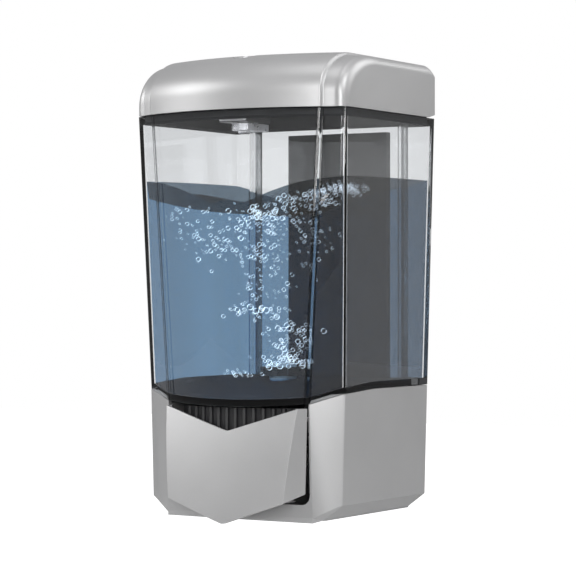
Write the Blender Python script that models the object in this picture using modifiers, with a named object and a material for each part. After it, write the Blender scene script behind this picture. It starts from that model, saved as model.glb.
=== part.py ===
"""Wall mounted soap dispenser: a clear tank between a silver cover and a silver base with a push button.

Metres, +Z up. The wall is the plane Y = 0 and the front looks along -Y. Heights and depths in this file
are counted from the underside of the base and from the wall; the datum empty moves them so that the
origin lies on the back of the wall bracket.
"""
import math

import bmesh
import bpy
import numpy as np
from mathutils import Matrix, Vector

for old in list(bpy.data.objects):
    bpy.data.objects.remove(old, do_unlink=True)

# ---- overall sizes
WIDTH = 0.110
DEPTH = 0.0953
HEIGHT = 0.2058
BASE_HEIGHT = 0.0577
COVER_HEIGHT = 0.0254
MOUNT_HEIGHT = 0.100

# ---- clearances
GAP = 0.0003
FACE_GAP = 0.0004
WALL_CLEARANCE = 0.0005
LIQUID_GAP = 0.0008

# ---- outline of the body in plan
FACET_WIDTH = 0.0101
FACET_DEPTH = 0.0034
FRONT_BULGE = 0.0091
CORNER_RADIUS = 0.0010
INNER_CORNER = 0.003
TANK_SET_BACK = 0.0023
SIDE_TAPER = 0.0036
FRONT_TAPER = 0.0024
FACET_GROWTH = 0.0040
EDGE_DIP_CORNER = 0.0016
EDGE_DIP_FACET = 0.0061
EDGE_DIP_FRONT = 0.0077
ARC_STEPS = 7

# ---- tank
TANK_WALL = 0.0024
TANK_FLOOR = 0.0030
LIP_WALL = 0.0012
LIP_LEDGE = 0.0025
LIP_HEIGHT = 0.0040
REAR_LIP_HEIGHT = 0.0100
REAR_LIP_DEPTH = 0.010
HEADSPACE = 0.032
CATCH_HALF = 0.008
CATCH_REACH = 0.0030
CATCH_THICKNESS = 0.0026
CATCH_CLEARANCE = 0.0012

# ---- channel in the back of the tank and the base, which takes the wall bracket
CHANNEL_HALF = 0.0385
CHANNEL_DEPTH = 0.0070
BRACKET_HALF = 0.026
BRACKET_THICKNESS = 0.0036
BRACKET_SHIFT = 0.0043
BRACKET_LOW = 0.014
BRACKET_TOP_DROP = 0.0054
BRACKET_SKIN = 0.0012
SOCKET_RADIUS = 0.0040
BRACKET_SOCKETS = ((-0.017, 0.155), (0.017, 0.155), (0, 0.075))
HOOK_HALF = 0.010
HOOK_HEIGHT = 0.024
HOOK_THICKNESS = 0.003
HOOK_RISE = 0.007

# ---- cover
COVER_WALL = 0.0022
BAND_RISE = 0.0014
BAND_EDGE = 0.0110
BAND_SLOPE = 0.0022
COVER_SIDE_RADIUS = 0.0043
COVER_NOSE_LENGTH = 0.026
COVER_NOSE_HEIGHT = 0.0182
COVER_REAR_RADIUS = 0.0056
COVER_REAR_SKIRT = 0.0030
HINGE_PIN_RADIUS = 0.0014
HINGE_EYE_RADIUS = 0.0027
HINGE_ARM_WIDTH = 0.0040

# ---- lock
LOCK_DEPTH = 0.076
BARREL_RADIUS = 0.0050
BARREL_FLANGE = 0.0062
LATCH_HALF = 0.0073
LATCH_DROP = 0.0050
LATCH_REAR = 0.010
CAM_THICKNESS = 0.0030
CAM_HALF = 0.0055
BARREL_RECESS = 0.0022
BARREL_SEAT = 0.0030
CAM_SCREW_LENGTH = 0.0085
KEY_SLOT = (0.0018, 0.0060, 0.0030)

# ---- base
BASE_WALL = 0.0025
BASE_TAPER = 0.0013
CHAMFER_HEIGHT = 0.0079
CHAMFER_WIDTH = 0.0088
CHAMFER_FOOT = 0.0014
FOOT_LEVEL = 0.0009
BASE_FRONT_FLARE = 0.0007
BASE_FRONT_LEAN = 0.0015
BASE_FRONT_CROWN = 0.0005
POCKET_LIP = 0.0005
POCKET_SILL = 0.0078
POCKET_CORNER = 0.004
POCKET_WALL = 0.0020
FLOOR_THICKNESS = 0.0022
PLATE_THICKNESS = 0.0013
PLATE_RECESS = 0.0034
PLATE_MARGIN = 0.0030
PLATE_REAR_MARGIN = 0.012
BOSS_RADIUS = 0.0036
BOSS_HEIGHT = 0.012
SCREW_RADIUS = 0.0013
SCREW_HEAD_RADIUS = 0.0027
SCREW_HEAD_HEIGHT = 0.0013
SCREW_POINT = 0.001
PLATE_SCREW_LENGTH = 0.0095
PLATE_SCREW_DEPTHS = (0.018, 0.066)
PLATE_SCREW_INSET = 0.0045
PLATE_FRONT_MARGIN = 0.008

# ---- push button
BUTTON_WALL = 0.0022
BUTTON_SIDE_GAP = 0.0006
BUTTON_TOP_INSET = 0.0021
BUTTON_FOOT_INSET = 0.0063
BUTTON_CHEEK_FOOT_INSET = 0.0010
BUTTON_TOP_DROP = 0.0079
BUTTON_NOTCH = 0.0102
BUTTON_FOOT = 0.0090
BUTTON_TIP_DROP = 0.0099
BUTTON_CHEEK_FOOT = 0.0127
BUTTON_TOP_PROUD = 0.0070
BUTTON_FOOT_PROUD = 0.0116
BUTTON_BULGE_TOP = 0.0021
BUTTON_BULGE_FOOT = 0.0018
BUTTON_BELLY = 0.0008
BUTTON_AXIS_DROP = 0.0122
BUTTON_AXIS_DEPTH = 0.0785
BUTTON_EYE_RADIUS = 0.0032
BUTTON_PIN_RADIUS = 0.0014
BUTTON_EYE_WIDTH = 0.0022
BUTTON_BOSS_RADIUS = 0.0030
BUTTON_BOSS_CLEARANCE = 0.0008
BUTTON_EAR_INSET = 0.0008
BUTTON_EAR_REACH = 0.0010
BUTTON_CHEEK_GAP = 0.0004

# ---- pump carrier with the ribbed front
CARRIER_SIDE_GAP = 0.0046
CARRIER_FRONT = 0.0853
CARRIER_BULGE = 0.0068
CARRIER_WALL = 0.0020
CARRIER_HEIGHT = 0.0162
CARRIER_TOP_DROP = 0.0082
SHELF_DROP = 0.0114
SHELF_THICKNESS = 0.0023
SHELF_REAR = 0.033
SHELF_NECK = 0.0715
RIB_RADIUS = 0.0014
RIB_PITCH = 0.0046
LEDGE_WIDTH = 0.008
LEDGE_HEIGHT = 0.005
CARRIER_SCREW_DEPTH = 0.050
CARRIER_SCREW_LENGTH = 0.0065

# ---- pump
PUMP_DROP = 0.0297
PUMP_RADIUS = 0.0098
PUMP_BORE = 0.0076
PUMP_FRONT = 0.070
PUMP_REAR = 0.034
PUMP_END_WALL = 0.0025
NECK_DEPTH = 0.044
NECK_RADIUS = 0.0062
NECK_BORE = 0.0044
NECK_PROUD = 0.0015
NECK_FLANGE = 0.0095
FLANGE_THICKNESS = 0.0024
SPOUT_DEPTH = 0.052
SPOUT_RADIUS = 0.0055
SPOUT_BORE = 0.0030
SPOUT_LENGTH = 0.0185
OUTLET_OPENING = 0.0100
NOZZLE_LENGTH = 0.0075
NOZZLE_COLLAR_HEIGHT = 0.006
NOZZLE_COLLAR_WALL = 0.0018
NOZZLE_SHOULDER = 0.0012
NOZZLE_FLANGE = 0.0024
GASKET_RELIEF = 0.0012
NUT_FLUTE = 0.0028
NUT_RADIUS = 0.0105
NUT_HEIGHT = 0.0040
GASKET_RADIUS = 0.0098
TANK_BOSS_RADIUS = 0.0115
TANK_BOSS_RISE = 0.0012
BALL_RADIUS = 0.0034
SEAT_BORE = 0.0025
SEAT_HEIGHT = 0.0025
SEAT_DROP = 0.0060
PISTON_FACE = 0.0585
PISTON_LENGTH = 0.0070
PLUNGER_RADIUS = 0.0040
PLUNGER_CAP_RADIUS = 0.0072
PLUNGER_CAP_THICKNESS = 0.0022
RING_GROOVE = 0.0014
SPRING_WIRE = 0.0005
SPRING_TURNS = 4
SPRING_POINTS = 10

# ---- heights that follow
TANK_TOP = HEIGHT - COVER_HEIGHT - FACE_GAP
LIQUID_LEVEL = TANK_TOP - HEADSPACE
COVER_FOOT = HEIGHT - COVER_HEIGHT
SHOULDER_TOP = HEIGHT - BAND_RISE
HINGE_HEIGHT = SHOULDER_TOP - COVER_REAR_RADIUS
HINGE_DEPTH = WALL_CLEARANCE + COVER_REAR_RADIUS
TANK_FOOT = BASE_HEIGHT + GAP
SHELF_TOP = BASE_HEIGHT - SHELF_DROP
BUTTON_TOP = BASE_HEIGHT - BUTTON_TOP_DROP
BUTTON_AXIS_HEIGHT = BASE_HEIGHT - BUTTON_AXIS_DROP
SHELF_FOOT = SHELF_TOP - SHELF_THICKNESS
PUMP_HEIGHT = BASE_HEIGHT - PUMP_DROP
FLOOR_TOP = PLATE_RECESS + FLOOR_THICKNESS
TANK_BOSS_TOP = TANK_FOOT + TANK_FLOOR + TANK_BOSS_RISE
NUT_TOP = TANK_BOSS_TOP + GAP + NUT_HEIGHT
SEAT_FOOT = SHELF_TOP - SEAT_DROP
CAM_TOP = COVER_FOOT - LATCH_DROP - GAP
ABOVE = HEIGHT + 0.02

# ---- plan sizes that follow
HALF = WIDTH / 2
TANK_FRONT = DEPTH - TANK_SET_BACK
TANK_CORNER = TANK_FRONT - FRONT_BULGE
BASE_HALF = HALF - SIDE_TAPER + GAP / 3
BASE_SIDE_DEPTH = TANK_CORNER - FACET_DEPTH - 2 * FRONT_TAPER
BASE_FRONT_HALF = HALF - FACET_WIDTH - SIDE_TAPER - FACET_GROWTH
BASE_CORNER = TANK_CORNER - FRONT_TAPER / 2
POCKET_HALF = BASE_FRONT_HALF - POCKET_LIP
BUTTON_HALF = POCKET_HALF - BUTTON_SIDE_GAP
CARRIER_HALF = POCKET_HALF - CARRIER_SIDE_GAP
HINGE_INNER = HALF - COVER_WALL - 2 * FACE_GAP - HINGE_ARM_WIDTH
LIP_INSET = COVER_WALL + FACE_GAP
LIP_FRONT = TANK_FRONT - LIP_INSET - LIP_WALL
CATCH_DEPTH = LIP_FRONT - CATCH_REACH
LATCH_FRONT = CATCH_DEPTH - CATCH_CLEARANCE
CAM_REACH = LIP_FRONT - 2 * GAP - LOCK_DEPTH
BUTTON_BOSS_END = BASE_CORNER - BUTTON_BOSS_CLEARANCE
LEDGE_MIDDLE = POCKET_HALF - LEDGE_WIDTH / 2

parts = bpy.data.collections.new("soap_dispenser")
cutters = bpy.data.collections.new("cutters")
bpy.context.scene.collection.children.link(parts)
bpy.context.scene.collection.children.link(cutters)
datum = bpy.data.objects.new("dispenser_datum", None)
datum.location = (0, 0, -MOUNT_HEIGHT)
parts.objects.link(datum)


# ---- materials
def finish(name, colour, roughness, metallic=0.0, clear=0.0):
    """Principled material, made once for each finish."""
    found = bpy.data.materials.get(name)
    if found:
        return found
    made = bpy.data.materials.new(name)
    made.use_nodes = True
    shader = made.node_tree.nodes["Principled BSDF"]
    shader.inputs["Base Color"].default_value = (*colour, 1)
    shader.inputs["Roughness"].default_value = roughness
    shader.inputs["Metallic"].default_value = metallic
    shader.inputs["Transmission Weight"].default_value = clear
    return made


def silver():
    return finish("silver_plastic", (0.42, 0.42, 0.42), 0.38, 0.35)


def black():
    return finish("black_plastic", (0.02, 0.02, 0.022), 0.45)


def steel():
    return finish("steel", (0.55, 0.55, 0.56), 0.3, 1.0)


def white():
    return finish("white_plastic", (0.75, 0.75, 0.74), 0.4)


def rubber():
    return finish("rubber", (0.03, 0.03, 0.03), 0.7)


# ---- meshes
def mesh_of(fill):
    """Mesh of a bmesh that the given function fills."""
    work = bmesh.new()
    fill(work)
    mesh = bpy.data.meshes.new("shape")
    work.to_mesh(mesh)
    work.free()
    return mesh


def box(low, high):
    """Box between two opposite corners."""
    low, high = Vector(low), Vector(high)
    size = high - low
    place = Matrix.Translation((low + high) / 2) @ Matrix.Diagonal((*size, 1))
    return mesh_of(lambda work: bmesh.ops.create_cube(work, size=1, matrix=place))


def round_bar(radius, start, end, sides=24, end_radius=None):
    """Cylinder, or cone, from one point to another."""
    start, end = Vector(start), Vector(end)
    span = end - start
    place = Matrix.Translation((start + end) / 2) @ span.to_track_quat("Z", "Y").to_matrix().to_4x4()
    top = radius if end_radius is None else end_radius
    return mesh_of(lambda work: bmesh.ops.create_cone(
        work, cap_ends=True, segments=sides, radius1=radius, radius2=top, depth=span.length, matrix=place))


def flat_plate(outline, low, high, across=False):
    """Flat outline in plan (X, Y), or across X in side view (Y, Z), extruded between two positions."""
    curve = bpy.data.curves.new("outline", "CURVE")
    curve.dimensions = "2D"
    curve.fill_mode = "BOTH"
    curve.extrude = (high - low) / 2
    line = curve.splines.new("POLY")
    line.points.add(len(outline) - 1)
    for point, (a, b) in zip(line.points, outline):
        point.co = (a, b, 0, 1)
    line.use_cyclic_u = True
    turn = Matrix.Rotation(math.radians(90), 4, "Z") @ Matrix.Rotation(math.radians(90), 4, "X")
    middle = (low + high) / 2
    place = Matrix.Translation((middle, 0, 0)) @ turn if across else Matrix.Translation((0, 0, middle))
    guide = bpy.data.objects.new("outline", curve)
    cutters.objects.link(guide)
    bpy.context.view_layer.update()
    mesh = bpy.data.meshes.new_from_object(guide.evaluated_get(bpy.context.evaluated_depsgraph_get()))
    bpy.data.objects.remove(guide)
    mesh.transform(place)
    weld(mesh)
    return mesh


def weld(mesh):
    """Join the loose caps of a mesh and turn its faces outwards."""
    work = bmesh.new()
    work.from_mesh(mesh)
    bmesh.ops.remove_doubles(work, verts=work.verts, dist=0.000005)
    bmesh.ops.recalc_face_normals(work, faces=work.faces)
    work.to_mesh(mesh)
    work.free()


def loft(rings):
    """Closed solid through half rings that run from the rear to the front centre, mirrored about X = 0."""
    count = len(rings[0])
    vertices = []
    for ring in rings:
        vertices += [tuple(point) for point in ring]
        vertices += [(-point[0], point[1], point[2]) for point in ring[-2::-1]]
    around = 2 * count - 1
    faces = []
    for level in range(len(rings) - 1):
        start = level * around
        for i in range(around):
            j = (i + 1) % around
            faces.append((start + i, start + j, start + around + j, start + around + i))
    for start in (0, (len(rings) - 1) * around):
        for i in range(count - 2):
            faces.append((start + i, start + i + 1, start + around - 2 - i, start + around - 1 - i))
        faces.append((start + count - 2, start + count - 1, start + count))
    mesh = bpy.data.meshes.new("loft")
    mesh.from_pydata(vertices, [], faces)
    weld(mesh)
    return mesh


# ---- objects
def part(name, mesh, material, pivot=(0, 0, 0)):
    """Sub-part whose origin lies at pivot."""
    mesh.transform(Matrix.Translation(-Vector(pivot)))
    mesh.name = name
    mesh.shade_smooth()
    mesh.set_sharp_from_angle(angle=math.radians(35))
    made = bpy.data.objects.new(name, mesh)
    made.location = pivot
    made.parent = datum
    made.data.materials.append(material)
    parts.objects.link(made)
    return made


def combine(target, operation, mesh):
    """Cut a shape out of a part (DIFFERENCE) or add one to it (UNION)."""
    tool = bpy.data.objects.new(f"{target.name}_tool", mesh)
    tool.parent = datum
    tool.hide_render = True
    tool.display_type = "WIRE"
    cutters.objects.link(tool)
    step = target.modifiers.new(operation.lower(), "BOOLEAN")
    step.operation = operation
    step.solver = "EXACT"
    step.object = tool
    return tool


def cut(target, *meshes):
    for mesh in meshes:
        combine(target, "DIFFERENCE", mesh)


def add(target, *meshes):
    for mesh in meshes:
        combine(target, "UNION", mesh)


def turned(name, profile, material, pivot, forward=False, closed=False, steps=24):
    """Turned piece from (radius, height) points, top to bottom on the outside; forward lays it along -Y."""
    mesh = bpy.data.meshes.new(name)
    edges = [(i, i + 1) for i in range(len(profile) - 1)]
    if closed:
        edges.append((len(profile) - 1, 0))
    mesh.from_pydata([(radius, 0, height) for radius, height in profile], edges, [])
    made = bpy.data.objects.new(name, mesh)
    made.location = pivot
    made.parent = datum
    if forward:
        made.rotation_euler = (math.radians(90), 0, 0)
    made.data.materials.append(material)
    parts.objects.link(made)
    turn = made.modifiers.new("turn", "SCREW")
    turn.steps = steps
    turn.render_steps = steps
    turn.use_merge_vertices = True
    turn.merge_threshold = 0.00001
    return made


def ring_profile(inner, outer, height):
    """Closed profile of a plain ring that stands on its pivot."""
    return [(outer, height), (outer, 0), (inner, 0), (inner, height)]


# ---- the outline in plan that the tank, the liquid and the base share
def outline(heights, plan, fillet=CORNER_RADIUS):
    """Right half of the body in plan, rear to front centre, one height for each point.

    What is moved inwards afterwards starts from a larger fillet, so that its corners stay round.
    """
    low, high = plan["heights"]
    share = (np.asarray(heights) - low) / (high - low)
    half, side, front_half, corner, front = (
        first + (last - first) * share for first, last in plan["sizes"])
    rear = WALL_CLEARANCE
    run = np.hypot(half - front_half, corner - side)
    across = (half - front_half) / run
    along = (corner - side) / run
    turn = np.array([1, 1, 1, 1, 1, 0.25, 0]) * fillet
    x = [half[0] - fillet, half[1], half[2], half[3], half[4]]
    y = [rear, rear + fillet, side[2] * 0.33, side[3] * 0.66, side[4] - turn[4]]
    x += [half[5] - 0.3 * fillet * across[5], half[6] - fillet * across[6], front_half[7]]
    y += [side[5] + 0.3 * fillet * along[5] - turn[5], side[6] + fillet * along[6], corner[7]]
    for step in range(1, ARC_STEPS + 1):
        i = 7 + step
        aside = 1 - step / ARC_STEPS
        x.append(front_half[i] * aside)
        y.append(front[i] - (front[i] - corner[i]) * aside ** 2)
    return np.column_stack([x, -np.array(y), heights])


def edge_heights(level):
    """Height of each point of the split line between tank and base: level, then dipping to the front."""
    side = [level] * 4
    corner = [level - EDGE_DIP_CORNER * 0.85] + [level - EDGE_DIP_CORNER] * 2
    facet = [level - EDGE_DIP_FACET]
    rest = EDGE_DIP_FRONT - EDGE_DIP_FACET
    front = [level - EDGE_DIP_FRONT + rest * (1 - step / ARC_STEPS) ** 2 for step in range(1, ARC_STEPS + 1)]
    return np.array(side + corner + facet + front)


POINTS = 8 + ARC_STEPS


def flat_heights(level):
    return np.full(POINTS, level)


def shrunk(ring, distance):
    """Half ring moved inwards by a distance, at right angles to its sides."""
    flat = ring[:, :2]
    ahead = np.vstack([flat[1:], flat[-1] * (-1, 1) + (flat[-1] - flat[-2]) * (1, 0)])
    ahead[-1] = (-flat[-2][0], flat[-2][1])
    behind = np.vstack([(-flat[0][0], flat[0][1]), flat[:-1]])
    first = flat - behind
    second = ahead - flat
    first /= np.linalg.norm(first, axis=1)[:, None]
    second /= np.linalg.norm(second, axis=1)[:, None]
    normals = [np.column_stack([line[:, 1], -line[:, 0]]) for line in (first, second)]
    middle = normals[0] + normals[1]
    length = 1 + (normals[0] * normals[1]).sum(axis=1)
    moved = flat + distance * middle / length[:, None]
    moved[-1][0] = 0
    return np.column_stack([moved, ring[:, 2]])


TANK_PLAN = {
    "heights": (TANK_FOOT, TANK_TOP),
    "sizes": (
        (HALF - SIDE_TAPER, HALF),
        (BASE_SIDE_DEPTH, TANK_CORNER - FACET_DEPTH),
        (BASE_FRONT_HALF, HALF - FACET_WIDTH),
        (BASE_CORNER, TANK_CORNER),
        (TANK_FRONT - FRONT_TAPER, TANK_FRONT),
    ),
}
BASE_PLAN = {
    "heights": (CHAMFER_HEIGHT, BASE_HEIGHT),
    "sizes": (
        (BASE_HALF - BASE_TAPER, BASE_HALF),
        (BASE_SIDE_DEPTH, BASE_SIDE_DEPTH),
        (BASE_FRONT_HALF + BASE_FRONT_FLARE, BASE_FRONT_HALF),
        (BASE_CORNER - BASE_FRONT_LEAN, BASE_CORNER),
        (BASE_CORNER - BASE_FRONT_LEAN + BASE_FRONT_CROWN, BASE_CORNER + BASE_FRONT_CROWN),
    ),
}


def channel_cutter(growth, low, high):
    """Box of the bracket channel, grown sideways and forwards by the same amount."""
    half = CHANNEL_HALF + growth
    return box((-half, -CHANNEL_DEPTH - growth, low), (half, 0.01, high))


def hinge_arm(side):
    """Curved arm that rises from the tank's side to an eye on the cover's hinge axis."""
    eye = [(math.cos(math.radians(turn)), math.sin(math.radians(turn))) for turn in range(-55, 126, 20)]
    line = [(-HINGE_DEPTH + HINGE_EYE_RADIUS * a, HINGE_HEIGHT + HINGE_EYE_RADIUS * b) for a, b in eye]
    line += [(-HINGE_DEPTH - 0.0155, HINGE_HEIGHT - 0.0060), (-HINGE_DEPTH - 0.0160, TANK_TOP - 0.002)]
    line += [(-HINGE_DEPTH - 0.0080, TANK_TOP - 0.002), (-HINGE_DEPTH - 0.0080, HINGE_HEIGHT - 0.0090)]
    reach = sorted((side * HINGE_INNER, side * (HINGE_INNER + HINGE_ARM_WIDTH)))
    return flat_plate(line, *reach, across=True)


def tank():
    """Clear tank: tapering shell with a floor that dips to the front, a lip, hinge arms and a lock catch."""
    top = outline(flat_heights(TANK_TOP), TANK_PLAN)
    lip = shrunk(outline(flat_heights(TANK_TOP), TANK_PLAN, INNER_CORNER), LIP_INSET)
    lip_top = lip.copy()
    lip_top[:, 2] += np.where(-lip[:, 1] < REAR_LIP_DEPTH, REAR_LIP_HEIGHT, LIP_HEIGHT)
    foot = outline(edge_heights(TANK_FOOT), TANK_PLAN)
    clear = finish("clear_grey", (0.72, 0.75, 0.78), 0.03, clear=1.0)
    made = part("tank", loft([foot, top, lip, lip_top]), clear)
    neck = (0, -NECK_DEPTH)
    add(made, round_bar(TANK_BOSS_RADIUS, (*neck, TANK_FOOT - EDGE_DIP_CORNER / 2), (*neck, TANK_BOSS_TOP)))
    cut(made, hollow(TANK_WALL, TANK_FLOOR))
    add(made, hinge_arm(-1), hinge_arm(1))
    catch_low = COVER_FOOT - LATCH_DROP + GAP
    add(made, box((-CATCH_HALF, -LIP_FRONT - 0.0006, catch_low),
                  (CATCH_HALF, -CATCH_DEPTH, catch_low + CATCH_THICKNESS)))
    cut(made, channel_cutter(0, 0, ABOVE))
    cut(made, round_bar(NECK_RADIUS + GAP, (*neck, 0), (*neck, HEIGHT / 2)))
    for side in (-1, 1):
        start = (side * (HINGE_INNER - 0.001), -HINGE_DEPTH, HINGE_HEIGHT)
        cut(made, round_bar(HINGE_PIN_RADIUS + GAP, start, (side * HALF, *start[1:]), 16))
    return made


def hollow(wall, floor, level=None):
    """Inside of the tank: its plan moved in by the wall, less the wall round the bracket channel.

    Without a level it runs out of the top, past the inward ledge that carries the lip.
    """
    rings = [shrunk(outline(edge_heights(TANK_FOOT + floor), TANK_PLAN, INNER_CORNER), wall)]
    if level:
        rings.append(shrunk(outline(flat_heights(level), TANK_PLAN, INNER_CORNER), wall))
    else:
        ledge = TANK_TOP - LIP_LEDGE
        mouth = LIP_INSET + LIP_WALL
        rings.append(shrunk(outline(flat_heights(ledge - (mouth - wall)), TANK_PLAN, INNER_CORNER), wall))
        rings.append(shrunk(outline(flat_heights(ledge), TANK_PLAN, INNER_CORNER), mouth))
        above = shrunk(outline(flat_heights(TANK_TOP), TANK_PLAN, INNER_CORNER), mouth)
        above[:, 2] = ABOVE
        rings.append(above)
    core = bpy.data.objects.new("hollow", loft(rings))
    spine = bpy.data.objects.new("hollow_spine", channel_cutter(wall, 0, HEIGHT + 0.04))
    for guide in (core, spine):
        cutters.objects.link(guide)
    step = core.modifiers.new("channel", "BOOLEAN")
    step.operation = "DIFFERENCE"
    step.solver = "EXACT"
    step.object = spine
    bpy.context.view_layer.update()
    mesh = bpy.data.meshes.new_from_object(core.evaluated_get(bpy.context.evaluated_depsgraph_get()))
    for guide in (core, spine):
        bpy.data.objects.remove(guide)
    return mesh


def liquid():
    """Liquid soap: fills the tank's hollow up to its level, clear of the walls and of the pump's neck."""
    mesh = hollow(TANK_WALL + LIQUID_GAP, TANK_FLOOR + LIQUID_GAP, LIQUID_LEVEL)
    made = part("liquid_soap", mesh, finish("blue_liquid", (0.18, 0.33, 0.55), 0.05, clear=0.8))
    clear = max(NUT_RADIUS, TANK_BOSS_RADIUS) + 2 * GAP
    cut(made, round_bar(clear, (0, -NECK_DEPTH, 0), (0, -NECK_DEPTH, NUT_TOP + NECK_PROUD + GAP)))
    return made


def wall_bracket():
    """Bracket on the wall: a plate with a hook for the base, and sockets in its back for the screw heads."""
    top = TANK_TOP - BRACKET_TOP_DROP
    left, right = BRACKET_SHIFT - BRACKET_HALF, BRACKET_SHIFT + BRACKET_HALF
    plate = box((left, -BRACKET_THICKNESS, BRACKET_LOW), (right, 0, top))
    made = part("wall_bracket", plate, finish("dark_grey_plastic", (0.09, 0.09, 0.095), 0.5))
    back = CHANNEL_DEPTH + BASE_WALL + 2 * GAP
    add(made, box((-HOOK_HALF, -back - HOOK_THICKNESS, HOOK_HEIGHT),
                  (HOOK_HALF, -BRACKET_THICKNESS / 2, HOOK_HEIGHT + HOOK_THICKNESS)))
    add(made, box((-HOOK_HALF + 0.0001, -back - HOOK_THICKNESS + 0.0001, HOOK_HEIGHT + 0.0001),
                  (HOOK_HALF - 0.0001, -back, HOOK_HEIGHT + HOOK_THICKNESS + HOOK_RISE)))
    for x, height in BRACKET_SOCKETS:
        x += BRACKET_SHIFT
        ends = (x, 0.01, height), (x, BRACKET_SKIN - BRACKET_THICKNESS, height)
        cut(made, round_bar(SOCKET_RADIUS, *ends, 16))
    return made


def base_rings():
    """Rings of the base, bottom to top; the side chamfer runs out at the front corners."""
    top = outline(edge_heights(BASE_HEIGHT), BASE_PLAN)
    chamfer = flat_heights(CHAMFER_HEIGHT)
    chamfer[7:] = CHAMFER_FOOT + FOOT_LEVEL
    waist = outline(chamfer, BASE_PLAN)
    step = waist.copy()
    step[:7, 0] -= CHAMFER_WIDTH
    step[5:7, 1] -= FACET_DEPTH / 3
    step[0, 0] += CORNER_RADIUS * 0.7
    step[:, 2] = CHAMFER_FOOT
    foot = step.copy()
    foot[:, 2] = FOOT_LEVEL
    foot[7:, 2] = 0
    return [foot, step, waist, top]


def base_hollow():
    """Inside of the base: the outline moved in by the wall, following the chamfers, open at the top."""
    top = shrunk(outline(edge_heights(BASE_HEIGHT), BASE_PLAN, INNER_CORNER), BASE_WALL)
    waist = shrunk(outline(flat_heights(CHAMFER_HEIGHT + BASE_WALL / 2), BASE_PLAN, INNER_CORNER), BASE_WALL)
    floor = waist.copy()
    rise = CHAMFER_HEIGHT + BASE_WALL / 2 - FLOOR_TOP
    floor[:7, 0] -= rise * CHAMFER_WIDTH / (CHAMFER_HEIGHT - CHAMFER_FOOT)
    floor[:, 2] = FLOOR_TOP
    above = top.copy()
    above[:, 2] = BASE_HEIGHT + 0.02
    return [floor, waist, top, above]


def pocket_outline():
    """Front view of the button's pocket, with rounded lower corners."""
    corner = [math.radians(turn) for turn in (-90, -60, -30, 0)]
    x0 = POCKET_HALF - POCKET_CORNER
    z0 = POCKET_SILL + POCKET_CORNER
    right = [(x0 + POCKET_CORNER * math.cos(turn), z0 + POCKET_CORNER * math.sin(turn)) for turn in corner]
    right.append((POCKET_HALF, BASE_HEIGHT + 0.02))
    return right + [(-x, z) for x, z in reversed(right)]


def prism(points, front, rear):
    """Outline in front view (X, Z) extruded along Y, closed at both ends."""
    count = len(points)
    vertices = [(x, -front, z) for x, z in points] + [(x, -rear, z) for x, z in points]
    faces = [tuple(range(count)), tuple(reversed(range(count, 2 * count)))]
    faces += [(i, i + count, (i + 1) % count + count, (i + 1) % count) for i in range(count)]
    mesh = bpy.data.meshes.new("prism")
    mesh.from_pydata(vertices, [], faces)
    weld(mesh)
    return mesh


def plate_size():
    """Half width, front depth and rear depth of the bottom plate."""
    return BASE_HALF - CHAMFER_WIDTH - PLATE_MARGIN, BASE_CORNER - PLATE_FRONT_MARGIN, PLATE_REAR_MARGIN


def screw_places():
    """Corners of the bottom plate where its screws go."""
    x = plate_size()[0] - PLATE_SCREW_INSET
    return [(side * x, depth) for depth in PLATE_SCREW_DEPTHS for side in (1, -1)]


def base_housing():
    """Silver base: a shell with side chamfers, a pocket for the button, ledges, bosses and an outlet."""
    made = part("base_housing", loft(base_rings()), silver())
    cut(made, loft(base_hollow()))
    wall_low = POCKET_HALF
    wall_high = POCKET_HALF + POCKET_WALL
    ledge_high = SHELF_FOOT - GAP
    for side in (-1, 1):
        x = sorted((side * wall_low, side * wall_high))
        wall_top = BASE_HEIGHT - EDGE_DIP_FACET - 0.001
        add(made, box((x[0], -BASE_CORNER + 0.002, FLOOR_TOP - 0.001), (x[1], -SHELF_REAR, wall_top)))
        x = sorted((side * (wall_low - LEDGE_WIDTH), side * (wall_low + POCKET_WALL / 2)))
        add(made, box((x[0], -SHELF_NECK + 0.001, ledge_high - LEDGE_HEIGHT),
                      (x[1], -SHELF_REAR + 0.001, ledge_high)))
    for x, depth in screw_places():
        add(made, round_bar(BOSS_RADIUS, (x, -depth, PLATE_RECESS + GAP), (x, -depth, BOSS_HEIGHT), 16))
    half, front, rear = plate_size()
    cut(made, box((-half - GAP, -front - GAP, -0.01), (half + GAP, -rear + GAP, PLATE_RECESS)))
    cut(made, prism(pocket_outline(), DEPTH + 0.02, BASE_CORNER - 0.006))
    channel_top = BASE_HEIGHT + 0.02
    add(made, box((-CHANNEL_HALF - BASE_WALL, -CHANNEL_DEPTH - BASE_WALL, FLOOR_TOP - 0.001),
                  (CHANNEL_HALF + BASE_WALL, -WALL_CLEARANCE - 0.001, BASE_HEIGHT - 0.0001)))
    cut(made, channel_cutter(0, BRACKET_LOW - 0.002, channel_top))
    cut(made, box((-HOOK_HALF - GAP, -0.02, HOOK_HEIGHT - GAP),
                  (HOOK_HALF + GAP, 0.01, HOOK_HEIGHT + HOOK_THICKNESS + HOOK_RISE + 2 * GAP)))
    cut(made, round_bar(OUTLET_OPENING, (0, -SPOUT_DEPTH, -0.01), (0, -SPOUT_DEPTH, FLOOR_TOP + 0.001), 32))
    for x, depth in screw_places():
        cut(made, round_bar(SCREW_RADIUS + GAP, (x, -depth, -0.01), (x, -depth, BOSS_HEIGHT - 0.001), 12))
    for side in (-1, 1):
        place = (side * LEDGE_MIDDLE, -CARRIER_SCREW_DEPTH)
        cut(made, round_bar(SCREW_RADIUS + GAP, (*place, ledge_high - LEDGE_HEIGHT - 0.001),
                            (*place, BASE_HEIGHT), 12))
        start = (side * (POCKET_HALF - 0.002), -BUTTON_AXIS_DEPTH, BUTTON_AXIS_HEIGHT)
        cut(made, round_bar(BUTTON_PIN_RADIUS + GAP, start, (side * (wall_high + 0.002), *start[1:]), 16))
    return made


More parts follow.
